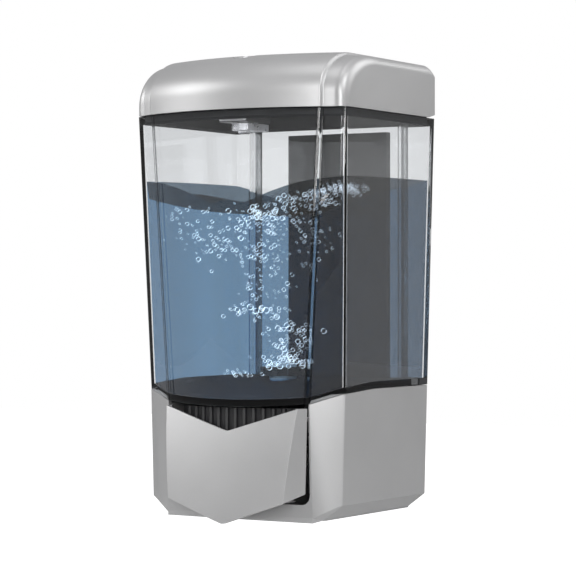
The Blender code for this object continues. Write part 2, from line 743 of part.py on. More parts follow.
def base_plate():
    """Plate screwed up into a recess under the base, with a way through for the nozzle."""
    half, front, rear = plate_size()
    high = PLATE_RECESS - GAP
    plate = box((-half, -front, high - PLATE_THICKNESS), (half, -rear, high))
    made = part("base_bottom_plate", plate, silver())
    cut(made, round_bar(OUTLET_OPENING, (0, -SPOUT_DEPTH, -0.01), (0, -SPOUT_DEPTH, 0.01), 32))
    for x, depth in screw_places():
        cut(made, round_bar(SCREW_RADIUS + GAP, (x, -depth, -0.01), (x, -depth, 0.01), 12))
    return made


def small_screw(name, x, depth, height, length, upward):
    """Pan head screw with its head at the given height; upward sends its shank up."""
    edge = SCREW_HEAD_HEIGHT * 0.6
    head = [(0, SCREW_HEAD_HEIGHT), (SCREW_HEAD_RADIUS * 0.7, SCREW_HEAD_HEIGHT), (SCREW_HEAD_RADIUS, edge)]
    shank = [(SCREW_HEAD_RADIUS, 0), (SCREW_RADIUS, 0), (SCREW_RADIUS, -length + SCREW_POINT), (0, -length)]
    made = turned(name, head + shank, steel(), (x, -depth, height), steps=12)
    if upward:
        made.rotation_euler = (math.radians(180), 0, 0)
    return made


def screws():
    """Screws of the bottom plate, from below, and of the pump carrier, from above."""
    low = PLATE_RECESS - PLATE_THICKNESS - 2 * GAP
    for number, (x, depth) in enumerate(screw_places(), 1):
        small_screw(f"plate_screw_{number}", x, depth, low, PLATE_SCREW_LENGTH, True)
    for name, side in (("left", -1), ("right", 1)):
        small_screw(f"carrier_screw_{name}", side * LEDGE_MIDDLE, CARRIER_SCREW_DEPTH, SHELF_TOP + GAP,
                    CARRIER_SCREW_LENGTH, False)


def carrier_front(depth_in, steps=12):
    """Plan points of the carrier's curved front, left to right, moved in by depth_in."""
    shares = [2 * step / steps - 1 for step in range(steps + 1)]
    return [(CARRIER_HALF * share, -(CARRIER_FRONT - RIB_RADIUS - depth_in - CARRIER_BULGE * share ** 2))
            for share in shares]


def pump_carrier():
    """Black carrier: a curved ribbed wall under the tank's front and a shelf that holds the pump."""
    high = BASE_HEIGHT - CARRIER_TOP_DROP
    low = high - CARRIER_HEIGHT
    wall = carrier_front(0) + carrier_front(CARRIER_WALL)[::-1]
    made = part("pump_carrier", flat_plate(wall, low, high), black())
    inner = [(x * 0.99, y) for x, y in carrier_front(CARRIER_WALL / 2)]
    shelf_half = POCKET_HALF - GAP
    neck = inner[-1][0]
    shelf = inner + [(neck, -SHELF_NECK), (shelf_half, -SHELF_NECK + 0.001), (shelf_half, -SHELF_REAR)]
    shelf += [(-shelf_half, -SHELF_REAR), (-shelf_half, -SHELF_NECK + 0.001), (-neck, -SHELF_NECK)]
    add(made, flat_plate(shelf, SHELF_FOOT, SHELF_TOP))
    count = int((CARRIER_HALF - RIB_RADIUS) / RIB_PITCH)
    for number in range(-count, count + 1):
        x = number * RIB_PITCH
        depth = CARRIER_FRONT - RIB_RADIUS - CARRIER_BULGE * (x / CARRIER_HALF) ** 2 - 0.0002
        add(made, round_bar(RIB_RADIUS, (x, -depth, low + 0.0001), (x, -depth, high - 0.0001), 8))
    cut(made, round_bar(NECK_RADIUS + GAP, (0, -NECK_DEPTH, 0), (0, -NECK_DEPTH, HEIGHT / 2)))
    for side in (-1, 1):
        place = (side * LEDGE_MIDDLE, -CARRIER_SCREW_DEPTH)
        cut(made, round_bar(SCREW_RADIUS + GAP, (*place, 0), (*place, HEIGHT / 2), 12))
    return made


def pump_body():
    """Pump: lying cylinder with an inlet neck through the tank's floor and a spout pointing down."""
    axis = PUMP_HEIGHT
    cylinder = round_bar(PUMP_RADIUS, (0, -PUMP_REAR, axis), (0, -PUMP_FRONT, axis), 28)
    made = part("pump_body", cylinder, white())
    inside = PUMP_RADIUS / 2
    neck = (0, -NECK_DEPTH)
    spout = (0, -SPOUT_DEPTH)
    add(made, round_bar(NECK_RADIUS, (*neck, axis + inside), (*neck, NUT_TOP + NECK_PROUD)))
    flange_top = SHELF_FOOT - GAP
    add(made, round_bar(NECK_FLANGE, (*neck, flange_top - FLANGE_THICKNESS), (*neck, flange_top)))
    add(made, round_bar(SPOUT_RADIUS, (*spout, axis - inside), (*spout, axis - SPOUT_LENGTH)))
    cut(made, round_bar(PUMP_BORE, (0, -PUMP_REAR - PUMP_END_WALL, axis), (0, -PUMP_FRONT - 0.01, axis), 28))
    cut(made, round_bar(NECK_BORE, (*neck, SEAT_FOOT), (*neck, ABOVE), 20))
    cut(made, round_bar(SEAT_BORE, (*neck, axis), (*neck, SEAT_FOOT + 0.001), 20))
    cut(made, round_bar(SPOUT_BORE, (*spout, axis), (*spout, 0), 20))
    return made


def pump_fittings():
    """Nut, gasket, valve seat and nozzle of the pump."""
    inner = NECK_RADIUS + GAP
    gasket = ring_profile(inner, GASKET_RADIUS, TANK_FOOT - SHELF_TOP - GASKET_RELIEF - 2 * GAP)
    turned("tank_gasket", gasket, rubber(), (0, -NECK_DEPTH, SHELF_TOP + GAP), closed=True)
    foot = Vector((0, -NECK_DEPTH, TANK_BOSS_TOP + GAP))
    nut = turned("neck_nut", ring_profile(inner, NUT_RADIUS, NUT_HEIGHT), black(), foot, closed=True)
    for turn in range(0, 360, 60):
        angle = math.radians(turn)
        spot = foot + Vector((math.cos(angle), math.sin(angle), 0)) * (NUT_RADIUS + NUT_FLUTE / 2)
        top = spot + Vector((0, 0, NUT_HEIGHT + GAP))
        cut(nut, round_bar(NUT_FLUTE, spot - Vector((0, 0, GAP)), top, 12))
    seat = ring_profile(SEAT_BORE, NECK_BORE - GAP, SEAT_HEIGHT)
    turned("valve_seat", seat, white(), (0, -NECK_DEPTH, SEAT_FOOT + GAP), closed=True)
    high = PUMP_HEIGHT - SPOUT_LENGTH
    outside = SPOUT_RADIUS + NOZZLE_COLLAR_WALL
    mouth = SPOUT_BORE + NOZZLE_SHOULDER
    fit = SPOUT_RADIUS + GAP
    low = high - NOZZLE_COLLAR_WALL + GAP
    collar = [(outside, high + NOZZLE_COLLAR_HEIGHT), (outside, low), (mouth, low), (mouth, high - GAP),
              (fit, high - GAP), (fit, high + NOZZLE_COLLAR_HEIGHT)]
    turned("nozzle_collar", collar, black(), (0, -SPOUT_DEPTH, 0), closed=True)
    wide = mouth - GAP
    tip = high - NOZZLE_LENGTH
    nozzle = [(wide, high - 2 * GAP), (wide, high - NOZZLE_FLANGE), (wide * 0.75, tip), (wide * 0.35, tip),
              (wide * 0.7, high - NOZZLE_FLANGE), (wide * 0.7, high - 2 * GAP)]
    silicone = finish("silicone", (0.5, 0.5, 0.5), 0.5)
    turned("outlet_nozzle", nozzle, silicone, (0, -SPOUT_DEPTH, 0), closed=True)


def inlet_ball():
    """Steel ball that closes the valve seat and lifts when the pump draws liquid."""
    rest = SEAT_FOOT + GAP + SEAT_HEIGHT + math.sqrt(BALL_RADIUS ** 2 - SEAT_BORE ** 2) + GAP
    spot = (0, -NECK_DEPTH, rest)
    mesh = mesh_of(lambda work: bmesh.ops.create_uvsphere(
        work, u_segments=16, v_segments=10, radius=BALL_RADIUS))
    mesh.transform(Matrix.Translation(spot))
    return part("inlet_ball", mesh, steel(), spot)


def piston():
    """Piston, plunger rod and cap in one piece, its sealing ring, and the spring that pushes it out."""
    axis = PUMP_HEIGHT
    head = PUMP_BORE - GAP
    cap_front = BUTTON_BOSS_END - FACE_GAP
    length = cap_front - PISTON_FACE
    groove = PISTON_LENGTH / 2
    under = length - PLUNGER_CAP_THICKNESS
    floor = head - RING_GROOVE
    profile = [(0, length), (PLUNGER_CAP_RADIUS, length), (PLUNGER_CAP_RADIUS, under),
               (PLUNGER_RADIUS, under), (PLUNGER_RADIUS, PISTON_LENGTH), (head, PISTON_LENGTH),
               (head, groove + RING_GROOVE), (floor, groove + RING_GROOVE),
               (floor, groove - RING_GROOVE), (head, groove - RING_GROOVE), (head, 0), (0, 0)]
    pivot = (0, -PISTON_FACE, axis)
    turned("pump_piston", profile, white(), pivot, forward=True)
    tube = (RING_GROOVE - GAP) / 2
    middle = floor + GAP + tube
    turns = [math.radians(turn) for turn in range(0, 360, 45)]
    ring = [(middle + tube * math.cos(turn), groove - tube * math.sin(turn)) for turn in turns]
    turned("piston_ring", ring, rubber(), pivot, forward=True, closed=True)


def return_spring():
    """Coil spring between the cylinder's mouth and the plunger's cap."""
    radius = (PLUNGER_RADIUS + PLUNGER_CAP_RADIUS) / 2 + 0.0004
    start = PUMP_FRONT + SPRING_WIRE + GAP
    end = BUTTON_BOSS_END - FACE_GAP - PLUNGER_CAP_THICKNESS - SPRING_WIRE - GAP
    curve = bpy.data.curves.new("return_spring", "CURVE")
    curve.dimensions = "3D"
    curve.bevel_depth = SPRING_WIRE
    curve.bevel_resolution = 2
    curve.use_fill_caps = True
    line = curve.splines.new("POLY")
    total = SPRING_TURNS * SPRING_POINTS
    line.points.add(total)
    for number, point in enumerate(line.points):
        angle = math.tau * number / SPRING_POINTS
        depth = start + (end - start) * number / total
        point.co = (radius * math.cos(angle), -(depth - start), radius * math.sin(angle), 1)
    made = bpy.data.objects.new("return_spring", curve)
    made.location = (0, -start, PUMP_HEIGHT)
    made.parent = datum
    curve.materials.append(steel())
    parts.objects.link(made)


def button_columns():
    """Signed shares across the button, closer together at the notch."""
    half = [0, 0.04, 0.12, 0.25, 0.4, 0.55, 0.7, 0.85, 1]
    return [-share for share in half[:0:-1]] + half


def button_point(across, down):
    """Point on the button's front: across runs from -1 to 1 and down from 0 at the top to 1 at the foot."""
    soft = math.sqrt(across ** 2 + 0.03 ** 2) - 0.03 * (1 - abs(across))
    half = BUTTON_HALF - BUTTON_TOP_INSET + (BUTTON_TOP_INSET - BUTTON_FOOT_INSET) * down
    high = BUTTON_TOP - BUTTON_NOTCH * (1 - min(soft, 1))
    low = BUTTON_FOOT - BUTTON_TIP_DROP * (1 - min(soft, 1))
    crown_top = BUTTON_TOP_PROUD - BUTTON_BULGE_TOP * across ** 2
    crown_low = BUTTON_FOOT_PROUD - BUTTON_BULGE_FOOT * across ** 2
    belly = BUTTON_BELLY * 4 * down * (1 - down)
    depth = BASE_CORNER + crown_top + (crown_low - crown_top) * down + belly
    return (across * half, -depth, high + (low - high) * down)


def button_cheek(side, down):
    """Rear edge of the button's side cheek."""
    half = BUTTON_HALF - BUTTON_CHEEK_FOOT_INSET * down
    height = BUTTON_TOP + (BUTTON_CHEEK_FOOT - BUTTON_TOP) * down
    return (side * half, -BASE_CORNER - BUTTON_CHEEK_GAP, height)


def push_button():
    """Silver button: a crowned chevron front with side cheeks, hinge eyes and a boss for the plunger."""
    columns = button_columns()
    rows = [0, 0.2, 0.4, 0.6, 0.8, 1]
    grid = []
    for down in rows:
        line = [button_cheek(-1, down)] + [button_point(across, down) for across in columns]
        grid.append(line + [button_cheek(1, down)])
    wide = len(grid[0])
    vertices = [point for line in grid for point in line]
    faces = []
    for row in range(len(rows) - 1):
        for column in range(wide - 1):
            first = row * wide + column
            faces.append((first, first + wide, first + wide + 1, first + 1))
    mesh = bpy.data.meshes.new("button")
    mesh.from_pydata(vertices, [], faces)
    pivot = (0, -BUTTON_AXIS_DEPTH, BUTTON_AXIS_HEIGHT)
    made = part("push_button", mesh, silver(), pivot)
    shell = made.modifiers.new("wall", "SOLIDIFY")
    shell.thickness = BUTTON_WALL
    shell.offset = -1
    shell.use_even_offset = True
    outer = BUTTON_HALF - BUTTON_EAR_INSET
    front = -BASE_CORNER - BUTTON_EAR_REACH
    turns = [math.radians(step) for step in range(-90, 91, 20)]
    ear = [(-BUTTON_AXIS_DEPTH + BUTTON_EYE_RADIUS * math.cos(turn),
            BUTTON_AXIS_HEIGHT + BUTTON_EYE_RADIUS * math.sin(turn)) for turn in turns]
    ear.append((front, BUTTON_AXIS_HEIGHT + BUTTON_EYE_RADIUS))
    ear.append((front, BUTTON_AXIS_HEIGHT - 2 * BUTTON_EYE_RADIUS))
    for side in (-1, 1):
        add(made, flat_plate(ear, *sorted((side * (outer - BUTTON_EYE_WIDTH), side * outer)), across=True))
    add(made, round_bar(BUTTON_BOSS_RADIUS, (0, -BUTTON_BOSS_END, PUMP_HEIGHT),
                        (0, -BASE_CORNER - BUTTON_TOP_PROUD - BUTTON_BELLY, PUMP_HEIGHT), 20))
    for side in (-1, 1):
        start = (side * (outer - 2 * BUTTON_EYE_WIDTH), -BUTTON_AXIS_DEPTH, BUTTON_AXIS_HEIGHT)
        cut(made, round_bar(BUTTON_PIN_RADIUS + GAP, start, (side * (BUTTON_HALF + 0.002), *start[1:]), 16))
    return made


def pins():
    """Steel pins of the button's hinge, held in the base, and of the cover's hinge, held in the cover."""
    for name, side in (("left", -1), ("right", 1)):
        axis = (side * (BUTTON_HALF - 0.003), -BUTTON_AXIS_DEPTH, BUTTON_AXIS_HEIGHT)
        end = (side * (POCKET_HALF + POCKET_WALL + 0.0005), *axis[1:])
        part(f"button_pin_{name}", round_bar(BUTTON_PIN_RADIUS, axis, end, 16), steel(), axis)
        axis = (side * (HINGE_INNER + 0.0005), -HINGE_DEPTH, HINGE_HEIGHT)
        end = (side * (HALF - COVER_WALL / 2 + GAP), *axis[1:])
        part(f"cover_pin_{name}", round_bar(HINGE_PIN_RADIUS, axis, end, 16), steel(), axis)


def cover_line(front, top, inset):
    """Closed side view of the cover at one station, from the front foot over the top and down the rear.

    The outside has no inset. The hollow has the wall as inset, and runs out below and behind the rear skirt.
    """
    waist = top + inset - COVER_NOSE_HEIGHT
    nose = COVER_NOSE_LENGTH - inset
    foot = COVER_FOOT - 0.010 if inset else COVER_FOOT
    line = [(front, foot), (front, waist)]
    for turn in (15, 30, 45, 60, 75, 90):
        angle = math.radians(turn)
        line.append((front - nose * (1 - math.cos(angle)), waist + (top - waist) * math.sin(angle)))
    for turn in (0, 30, 60, 90):
        angle = math.radians(turn)
        line.append((HINGE_DEPTH - (COVER_REAR_RADIUS - inset) * math.sin(angle),
                     HINGE_HEIGHT + (top - HINGE_HEIGHT) * math.cos(angle)))
    skirt = HINGE_HEIGHT - COVER_REAR_SKIRT
    if inset:
        return line + [(WALL_CLEARANCE + inset, skirt), (-0.01, skirt), (-0.01, foot)]
    return line + [(WALL_CLEARANCE, skirt), (WALL_CLEARANCE, COVER_FOOT + 0.0013), (HINGE_DEPTH, COVER_FOOT)]


def cover_stations(inset):
    """Stations from the centre to the right side: (x, front depth, top height)."""
    band_half = HALF - BAND_EDGE - inset / 2
    facet_start = band_half + BAND_SLOPE
    facet_depth = DEPTH - FRONT_BULGE - 0.0018 - inset
    flat_end = HALF - COVER_SIDE_RADIUS
    fillet = COVER_SIDE_RADIUS - inset
    slope = FACET_DEPTH / (HALF - facet_start)
    stations = [(band_half * share, DEPTH - inset - (FRONT_BULGE + 0.0002) * share ** 2, HEIGHT - inset)
                for share in (0, 0.2, 0.4, 0.6, 0.8, 1)]
    stations.append((facet_start, facet_depth, SHOULDER_TOP - inset))
    end_depth = facet_depth - slope * (flat_end - facet_start)
    stations.append((flat_end, end_depth, SHOULDER_TOP - inset))
    for turn in (22.5, 45, 67.5, 90):
        angle = math.radians(turn)
        drop = fillet * (1 - math.cos(angle))
        stations.append((flat_end + fillet * math.sin(angle), end_depth - drop, SHOULDER_TOP - inset - drop))
    return stations


def cover_solid(inset):
    """Closed solid through the cover's stations, from the left side to the right."""
    half = cover_stations(inset)
    stations = [(-x, depth, top) for x, depth, top in half[:0:-1]] + half
    lines = [[(x, -depth, height) for depth, height in cover_line(front, top, inset)]
             for x, front, top in stations]
    count = len(lines[0])
    faces = [tuple(range(count)), tuple(range((len(lines) - 1) * count, len(lines) * count))]
    for station in range(len(lines) - 1):
        for i in range(count):
            first = station * count + i
            second = station * count + (i + 1) % count
            faces.append((first, first + count, second + count, second))
    mesh = bpy.data.meshes.new("cover")
    mesh.from_pydata([point for line in lines for point in line], [], faces)
    weld(mesh)
    return mesh


def top_cover():
    """Silver cover: shell with a raised, rounded centre band, hinged to the tank at its rear top edge."""
    made = part("top_cover", cover_solid(0), silver(), (0, -HINGE_DEPTH, HINGE_HEIGHT))
    cut(made, cover_solid(COVER_WALL))
    for side in (-1, 1):
        start = (side * (HALF - 2 * COVER_WALL), -HINGE_DEPTH, HINGE_HEIGHT)
        end = (side * (HALF - COVER_WALL / 2 + 2 * GAP), *start[1:])
        cut(made, round_bar(HINGE_PIN_RADIUS + GAP, start, end, 16))
    middle = COVER_FOOT + COVER_HEIGHT / 2
    cut(made, round_bar(BARREL_RADIUS + GAP, (0, -LOCK_DEPTH, ABOVE), (0, -LOCK_DEPTH, middle)))
    return made


def lock():
    """Latch block under the cover, and the lock that turns in it: barrel, cam and cam screw."""
    axis = (0, -LOCK_DEPTH)
    pivot = (*axis, COVER_FOOT)
    roof = HEIGHT - COVER_WALL - 4 * GAP
    low = COVER_FOOT - LATCH_DROP
    rear = -LOCK_DEPTH + LATCH_REAR
    view = [(-LATCH_FRONT, low), (rear, low), (rear, roof), (-LOCK_DEPTH + 0.002, roof),
            (-LATCH_FRONT, COVER_FOOT + 0.014)]
    block = part("latch_block", flat_plate(view, -LATCH_HALF, LATCH_HALF, across=True), black(), pivot)
    cut(block, round_bar(BARREL_RADIUS + GAP, (*axis, 0), (*axis, ABOVE)))
    cut(block, round_bar(BARREL_FLANGE + GAP, (*axis, 0), (*axis, low + BARREL_SEAT)))
    top = HEIGHT - BARREL_RECESS
    shoulder = low + BARREL_SEAT - GAP
    barrel = [(0, top), (BARREL_RADIUS, top), (BARREL_RADIUS, shoulder), (BARREL_FLANGE, shoulder),
              (BARREL_FLANGE, CAM_TOP + GAP), (0, CAM_TOP + GAP)]
    made = turned("lock_barrel", [(r, z - COVER_FOOT) for r, z in barrel], steel(), pivot)
    wide, long, deep = KEY_SLOT
    cut(made, box((-wide / 2, -LOCK_DEPTH - long / 2, top - deep), (wide / 2, -LOCK_DEPTH + long / 2, ABOVE)))
    hole_end = CAM_TOP + CAM_SCREW_LENGTH
    cut(made, round_bar(SCREW_RADIUS + GAP, (*axis, CAM_TOP - 0.001), (*axis, hole_end), 12))
    spread = math.asin(CAM_HALF / CAM_REACH)
    turns = [math.pi / 2 + spread * share for share in (-1, -0.6, -0.2, 0.2, 0.6, 1)]
    tip = [(CAM_REACH * math.cos(turn), CAM_REACH * math.sin(turn)) for turn in turns]
    turns = [math.radians(turn) for turn in range(180, 361, 20)]
    heel = [(CAM_HALF * math.cos(turn), CAM_HALF * math.sin(turn)) for turn in turns]
    tongue = [(x, y - LOCK_DEPTH) for x, y in tip + heel]
    cam = part("lock_cam", flat_plate(tongue, CAM_TOP - CAM_THICKNESS, CAM_TOP), steel(), pivot)
    cut(cam, round_bar(SCREW_RADIUS + GAP, (*axis, 0), (*axis, ABOVE), 12))
    small_screw("cam_screw", 0, LOCK_DEPTH, CAM_TOP - CAM_THICKNESS - GAP, CAM_SCREW_LENGTH, True)


wall_bracket()
tank()
liquid()
base_housing()
base_plate()
screws()
pump_carrier()
pump_body()
pump_fittings()
inlet_ball()
piston()
return_spring()
push_button()
pins()
top_cover()
lock()
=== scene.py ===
"""Looks of a wall mounted soap dispenser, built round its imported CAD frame.

Metres, +Z up, the wall is Y = 0 and the front looks along -Y. The pieces follow in the order in which the
dispenser is put together: bracket, base, pump, push button, tank, soap, cover and lock.
"""
import math

import bmesh
import bpy
import numpy as np
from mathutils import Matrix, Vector


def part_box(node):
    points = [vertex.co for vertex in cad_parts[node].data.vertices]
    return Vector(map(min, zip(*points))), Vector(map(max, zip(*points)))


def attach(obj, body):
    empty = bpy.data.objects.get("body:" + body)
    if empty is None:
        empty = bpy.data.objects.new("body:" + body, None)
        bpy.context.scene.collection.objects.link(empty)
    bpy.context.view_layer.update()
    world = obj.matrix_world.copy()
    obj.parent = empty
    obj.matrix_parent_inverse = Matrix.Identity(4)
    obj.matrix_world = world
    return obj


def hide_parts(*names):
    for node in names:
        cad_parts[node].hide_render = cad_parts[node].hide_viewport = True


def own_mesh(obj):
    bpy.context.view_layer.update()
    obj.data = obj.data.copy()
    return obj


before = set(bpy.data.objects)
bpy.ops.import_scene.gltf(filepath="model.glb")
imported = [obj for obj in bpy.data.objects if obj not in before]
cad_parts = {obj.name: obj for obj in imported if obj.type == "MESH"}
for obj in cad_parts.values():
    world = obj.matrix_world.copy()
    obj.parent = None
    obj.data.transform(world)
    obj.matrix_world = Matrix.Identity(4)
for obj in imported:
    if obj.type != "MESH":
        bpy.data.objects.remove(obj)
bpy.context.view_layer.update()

# ======== view and studio
# A long lens a metre away, to the right of the front and level with the middle of the tank. The floor lies
# well below, as the dispenser hangs on a wall. The daylight white round it is what shines through the tank.
camera = bpy.data.objects.new("camera", bpy.data.cameras.new("camera"))
bpy.context.collection.objects.link(camera)
camera.location = (0.55029, -0.92870, 0.00019)
aim = Vector((0.00052, -0.04125, -0.00145)) - camera.location
camera.rotation_euler = aim.to_track_quat("-Z", "Y").to_euler()
camera.data.lens = 142.8
camera.data.sensor_width = 36
camera.data.shift_x = 0.0011
camera.data.shift_y = 0.0142
camera.data.clip_start = 0.05
bpy.context.scene.camera = camera
bpy.context.scene.view_settings.view_transform = "Standard"


def plain_nodes(material):
    """Node tree of a material with its Principled shader and output."""
    material.use_nodes = True
    tree = material.node_tree
    return tree, tree.nodes["Principled BSDF"], tree.nodes["Material Output"]


def seen_directly(tree):
    """Node that is one for rays from the camera, straight or through the tank, and nought for others."""
    path = tree.nodes.new("ShaderNodeLightPath")
    seen = tree.nodes.new("ShaderNodeMath")
    seen.operation = "MAXIMUM"
    tree.links.new(path.outputs["Is Camera Ray"], seen.inputs[0])
    tree.links.new(path.outputs["Is Transmission Ray"], seen.inputs[1])
    return seen


def studio():
    """Pale floor, white surroundings and five soft lamps."""
    world = bpy.data.worlds.new("studio")
    bpy.context.scene.world = world
    world.use_nodes = True
    nodes, links = world.node_tree.nodes, world.node_tree.links
    sky = nodes["Background"]
    seen = seen_directly(world.node_tree)
    place = nodes.new("ShaderNodeTexCoord")
    split = nodes.new("ShaderNodeSeparateXYZ")
    links.new(place.outputs["Generated"], split.inputs[0])
    height = nodes.new("ShaderNodeValToRGB")
    links.new(split.outputs["Z"], height.inputs[0])
    height.color_ramp.elements[0].position = 0.0
    height.color_ramp.elements[0].color = (0.30, 0.30, 0.30, 1)
    height.color_ramp.elements[1].position = 0.75
    height.color_ramp.elements[1].color = (0.42, 0.42, 0.43, 1)
    mix = nodes.new("ShaderNodeMix")
    mix.data_type = "RGBA"
    links.new(seen.outputs[0], mix.inputs["Factor"])
    links.new(height.outputs["Color"], mix.inputs["A"])
    mix.inputs["B"].default_value = (1, 1, 1, 1)
    links.new(mix.outputs["Result"], sky.inputs["Color"])
    sky.inputs["Strength"].default_value = 1.0

    floor = bpy.data.objects.new("floor", bpy.data.meshes.new("floor"))
    reach, level = 6.0, -0.45
    floor.data.from_pydata([(-reach, -reach, level), (reach, -reach, level), (reach, reach, level),
                            (-reach, reach, level)], [], [(0, 1, 2, 3)])
    bpy.context.collection.objects.link(floor)
    pale = bpy.data.materials.new("pale_floor")
    tree, shader, _ = plain_nodes(pale)
    shader.inputs["Base Color"].default_value = (0.55, 0.55, 0.55, 1)
    shader.inputs["Roughness"].default_value = 0.9
    shader.inputs["Emission Color"].default_value = (1, 1, 1, 1)
    seen = seen_directly(tree)
    tree.links.new(seen.outputs[0], shader.inputs["Emission Strength"])
    floor.data.materials.append(pale)

    lamps = (
        ("key", (-1.56, -1.06, 0.74), 1.0, 17.0),
        ("front", (0.85, -1.70, 0.42), 0.9, 18.0),
        ("top", (0.15, -0.30, 1.6), 0.9, 5.0),
        ("side", (1.35, -0.35, 1.05), 0.7, 10.0),
        ("rear", (1.10, 1.20, 0.95), 0.8, 9.0),
    )
    for name, place, size, power in lamps:
        lamp = bpy.data.objects.new(name, bpy.data.lights.new(name, "AREA"))
        lamp.data.size = size
        lamp.data.energy = power
        lamp.location = place
        lamp.rotation_euler = (-Vector(place)).to_track_quat("-Z", "Y").to_euler()
        bpy.context.collection.objects.link(lamp)


studio()


# ======== wall bracket
# A dark grey moulded plate screwed to the wall, which the base hooks on to. It is the CAD solid with a fine
# spark-eroded grain, and it shows as a dark panel behind the tank.
def group(name, inputs, outputs):
    """Empty shader node group with the named sockets."""
    made = bpy.data.node_groups.new(name, "ShaderNodeTree")
    for label, kind, value in inputs:
        socket = made.interface.new_socket(label, in_out="INPUT", socket_type=kind)
        socket.default_value = value
    for label, kind in outputs:
        made.interface.new_socket(label, in_out="OUTPUT", socket_type=kind)
    return made, made.nodes.new("NodeGroupInput"), made.nodes.new("NodeGroupOutput")


def node(tree, kind, links=(), **values):
    """Node with its plain settings and sockets filled in, and linked from (socket name, output) pairs."""
    made = tree.nodes.new(kind)
    for name, value in values.items():
        if hasattr(made, name):
            setattr(made, name, value)
        else:
            made.inputs[name.replace("_", " ").title()].default_value = value
    for name, output in links:
        tree.links.new(output, made.inputs[name])
    return made


def moulded_grain():
    """Group: fine grain of a moulded or sprayed surface as a height, and a slow drift of gloss and tone.

    Height is a fine noise plus a finer one; tone and gloss are a broad noise stretched about its middle.
    """
    made, start, end = group("moulded_grain", [
        ("Size", "NodeSocketFloat", 1500.0), ("Tone", "NodeSocketFloat", 0.05),
        ("Gloss", "NodeSocketFloat", 0.06), ("Roughness", "NodeSocketFloat", 0.4),
        ("Color", "NodeSocketColor", (0.5, 0.5, 0.5, 1))],
        [("Height", "NodeSocketFloat"), ("Roughness", "NodeSocketFloat"), ("Color", "NodeSocketColor")])
    place = made.nodes.new("ShaderNodeTexCoord").outputs["Object"]
    fine = node(made, "ShaderNodeTexNoise", [("Vector", place), ("Scale", start.outputs["Size"])], detail=3.0)
    made.links.new(fine.outputs["Fac"], end.inputs["Height"])
    broad = node(made, "ShaderNodeTexNoise", [("Vector", place)], scale=38.0, detail=3.0)
    fleck = node(made, "ShaderNodeMath", [(0, fine.outputs["Fac"]), (1, broad.outputs["Fac"])],
                 operation="ADD")
    centre = node(made, "ShaderNodeMath", [(0, fleck.outputs[0])], operation="SUBTRACT")
    centre.inputs[1].default_value = 1.0
    gloss = node(made, "ShaderNodeMath", [(0, centre.outputs[0]), (1, start.outputs["Gloss"]),
                                          (2, start.outputs["Roughness"])], operation="MULTIPLY_ADD")
    made.links.new(gloss.outputs[0], end.inputs["Roughness"])
    tone = node(made, "ShaderNodeMath", [(0, centre.outputs[0]), (1, start.outputs["Tone"])],
                operation="MULTIPLY_ADD")
    tone.inputs[2].default_value = 1.0
    shade = node(made, "ShaderNodeVectorMath", [(0, start.outputs["Color"]), ("Scale", tone.outputs[0])],
                 operation="SCALE")
    made.links.new(shade.outputs[0], end.inputs["Color"])
    return made


grain = moulded_grain()


def plastic(name, colour, roughness, size=1500.0, depth=0.00002, tone=0.05, gloss=0.06, metallic=0.0):
    """Opaque finish with the moulded grain in its colour, gloss and bump."""
    material = bpy.data.materials.new(name)
    tree, shader, _ = plain_nodes(material)
    effect = tree.nodes.new("ShaderNodeGroup")
    effect.node_tree = grain
    effect.inputs["Size"].default_value = size
    effect.inputs["Tone"].default_value = tone
    effect.inputs["Gloss"].default_value = gloss
    effect.inputs["Roughness"].default_value = roughness
    effect.inputs["Color"].default_value = (*colour, 1)
    tree.links.new(effect.outputs["Color"], shader.inputs["Base Color"])
    tree.links.new(effect.outputs["Roughness"], shader.inputs["Roughness"])
    bump = node(tree, "ShaderNodeBump", [("Height", effect.outputs["Height"])], strength=1.0, distance=depth)
    tree.links.new(bump.outputs["Normal"], shader.inputs["Normal"])
    shader.inputs["Metallic"].default_value = metallic
    return material


def dress(name, material):
    """Give a CAD node its finish."""
    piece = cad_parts[name]
    piece.data.materials.clear()
    piece.data.materials.append(material)
    return piece


dark_grey = plastic("dark_grey_moulded", (0.052, 0.053, 0.055), 0.6, size=2200.0, depth=0.00003)
dress("wall_bracket", dark_grey)


# ======== base housing
# The lower housing, moulded in plastic and sprayed satin silver. Its sides stand nearly upright, its front
# corners are cut off, a wide chamfer runs under each side, and the front opens into a pocket for the button.
MERGE = 0.000002


def finish_edges(piece, width, segments=3, angle=30):
    """Small rounded edges on a made piece."""
    rounding = piece.modifiers.new("edges", "BEVEL")
    rounding.width = width
    rounding.segments = segments
    rounding.limit_method = "ANGLE"
    rounding.angle_limit = math.radians(angle)
    rounding.harden_normals = True
    return piece


silver = plastic("satin_silver", (0.43, 0.43, 0.432), 0.41, size=2600.0, depth=0.000012, tone=0.10,
                 gloss=0.10, metallic=0.50)


def merged_copy(name, width, angle=30):
    """Copy of a CAD node with its triangles merged into whole faces and its sharp edges rounded."""
    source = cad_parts[name]
    mesh = source.data.copy()
    mesh.name = name + "_rounded"
    work = bmesh.new()
    work.from_mesh(mesh)
    bmesh.ops.remove_doubles(work, verts=work.verts, dist=MERGE)
    bmesh.ops.dissolve_limit(work, angle_limit=math.radians(0.8), verts=work.verts, edges=work.edges)
    work.to_mesh(mesh)
    work.free()
    mesh.materials.clear()
    mesh.shade_smooth()
    mesh.set_sharp_from_angle(angle=math.radians(angle))
    made = bpy.data.objects.new(name + "_rounded", mesh)
    bpy.context.collection.objects.link(made)
    finish_edges(made, width, 3, angle)
    return made


housing = merged_copy("base_housing", 0.00022)
housing.data.materials.append(silver)
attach(housing, "dispenser")
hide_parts("base_housing")
dress("base_bottom_plate", silver)


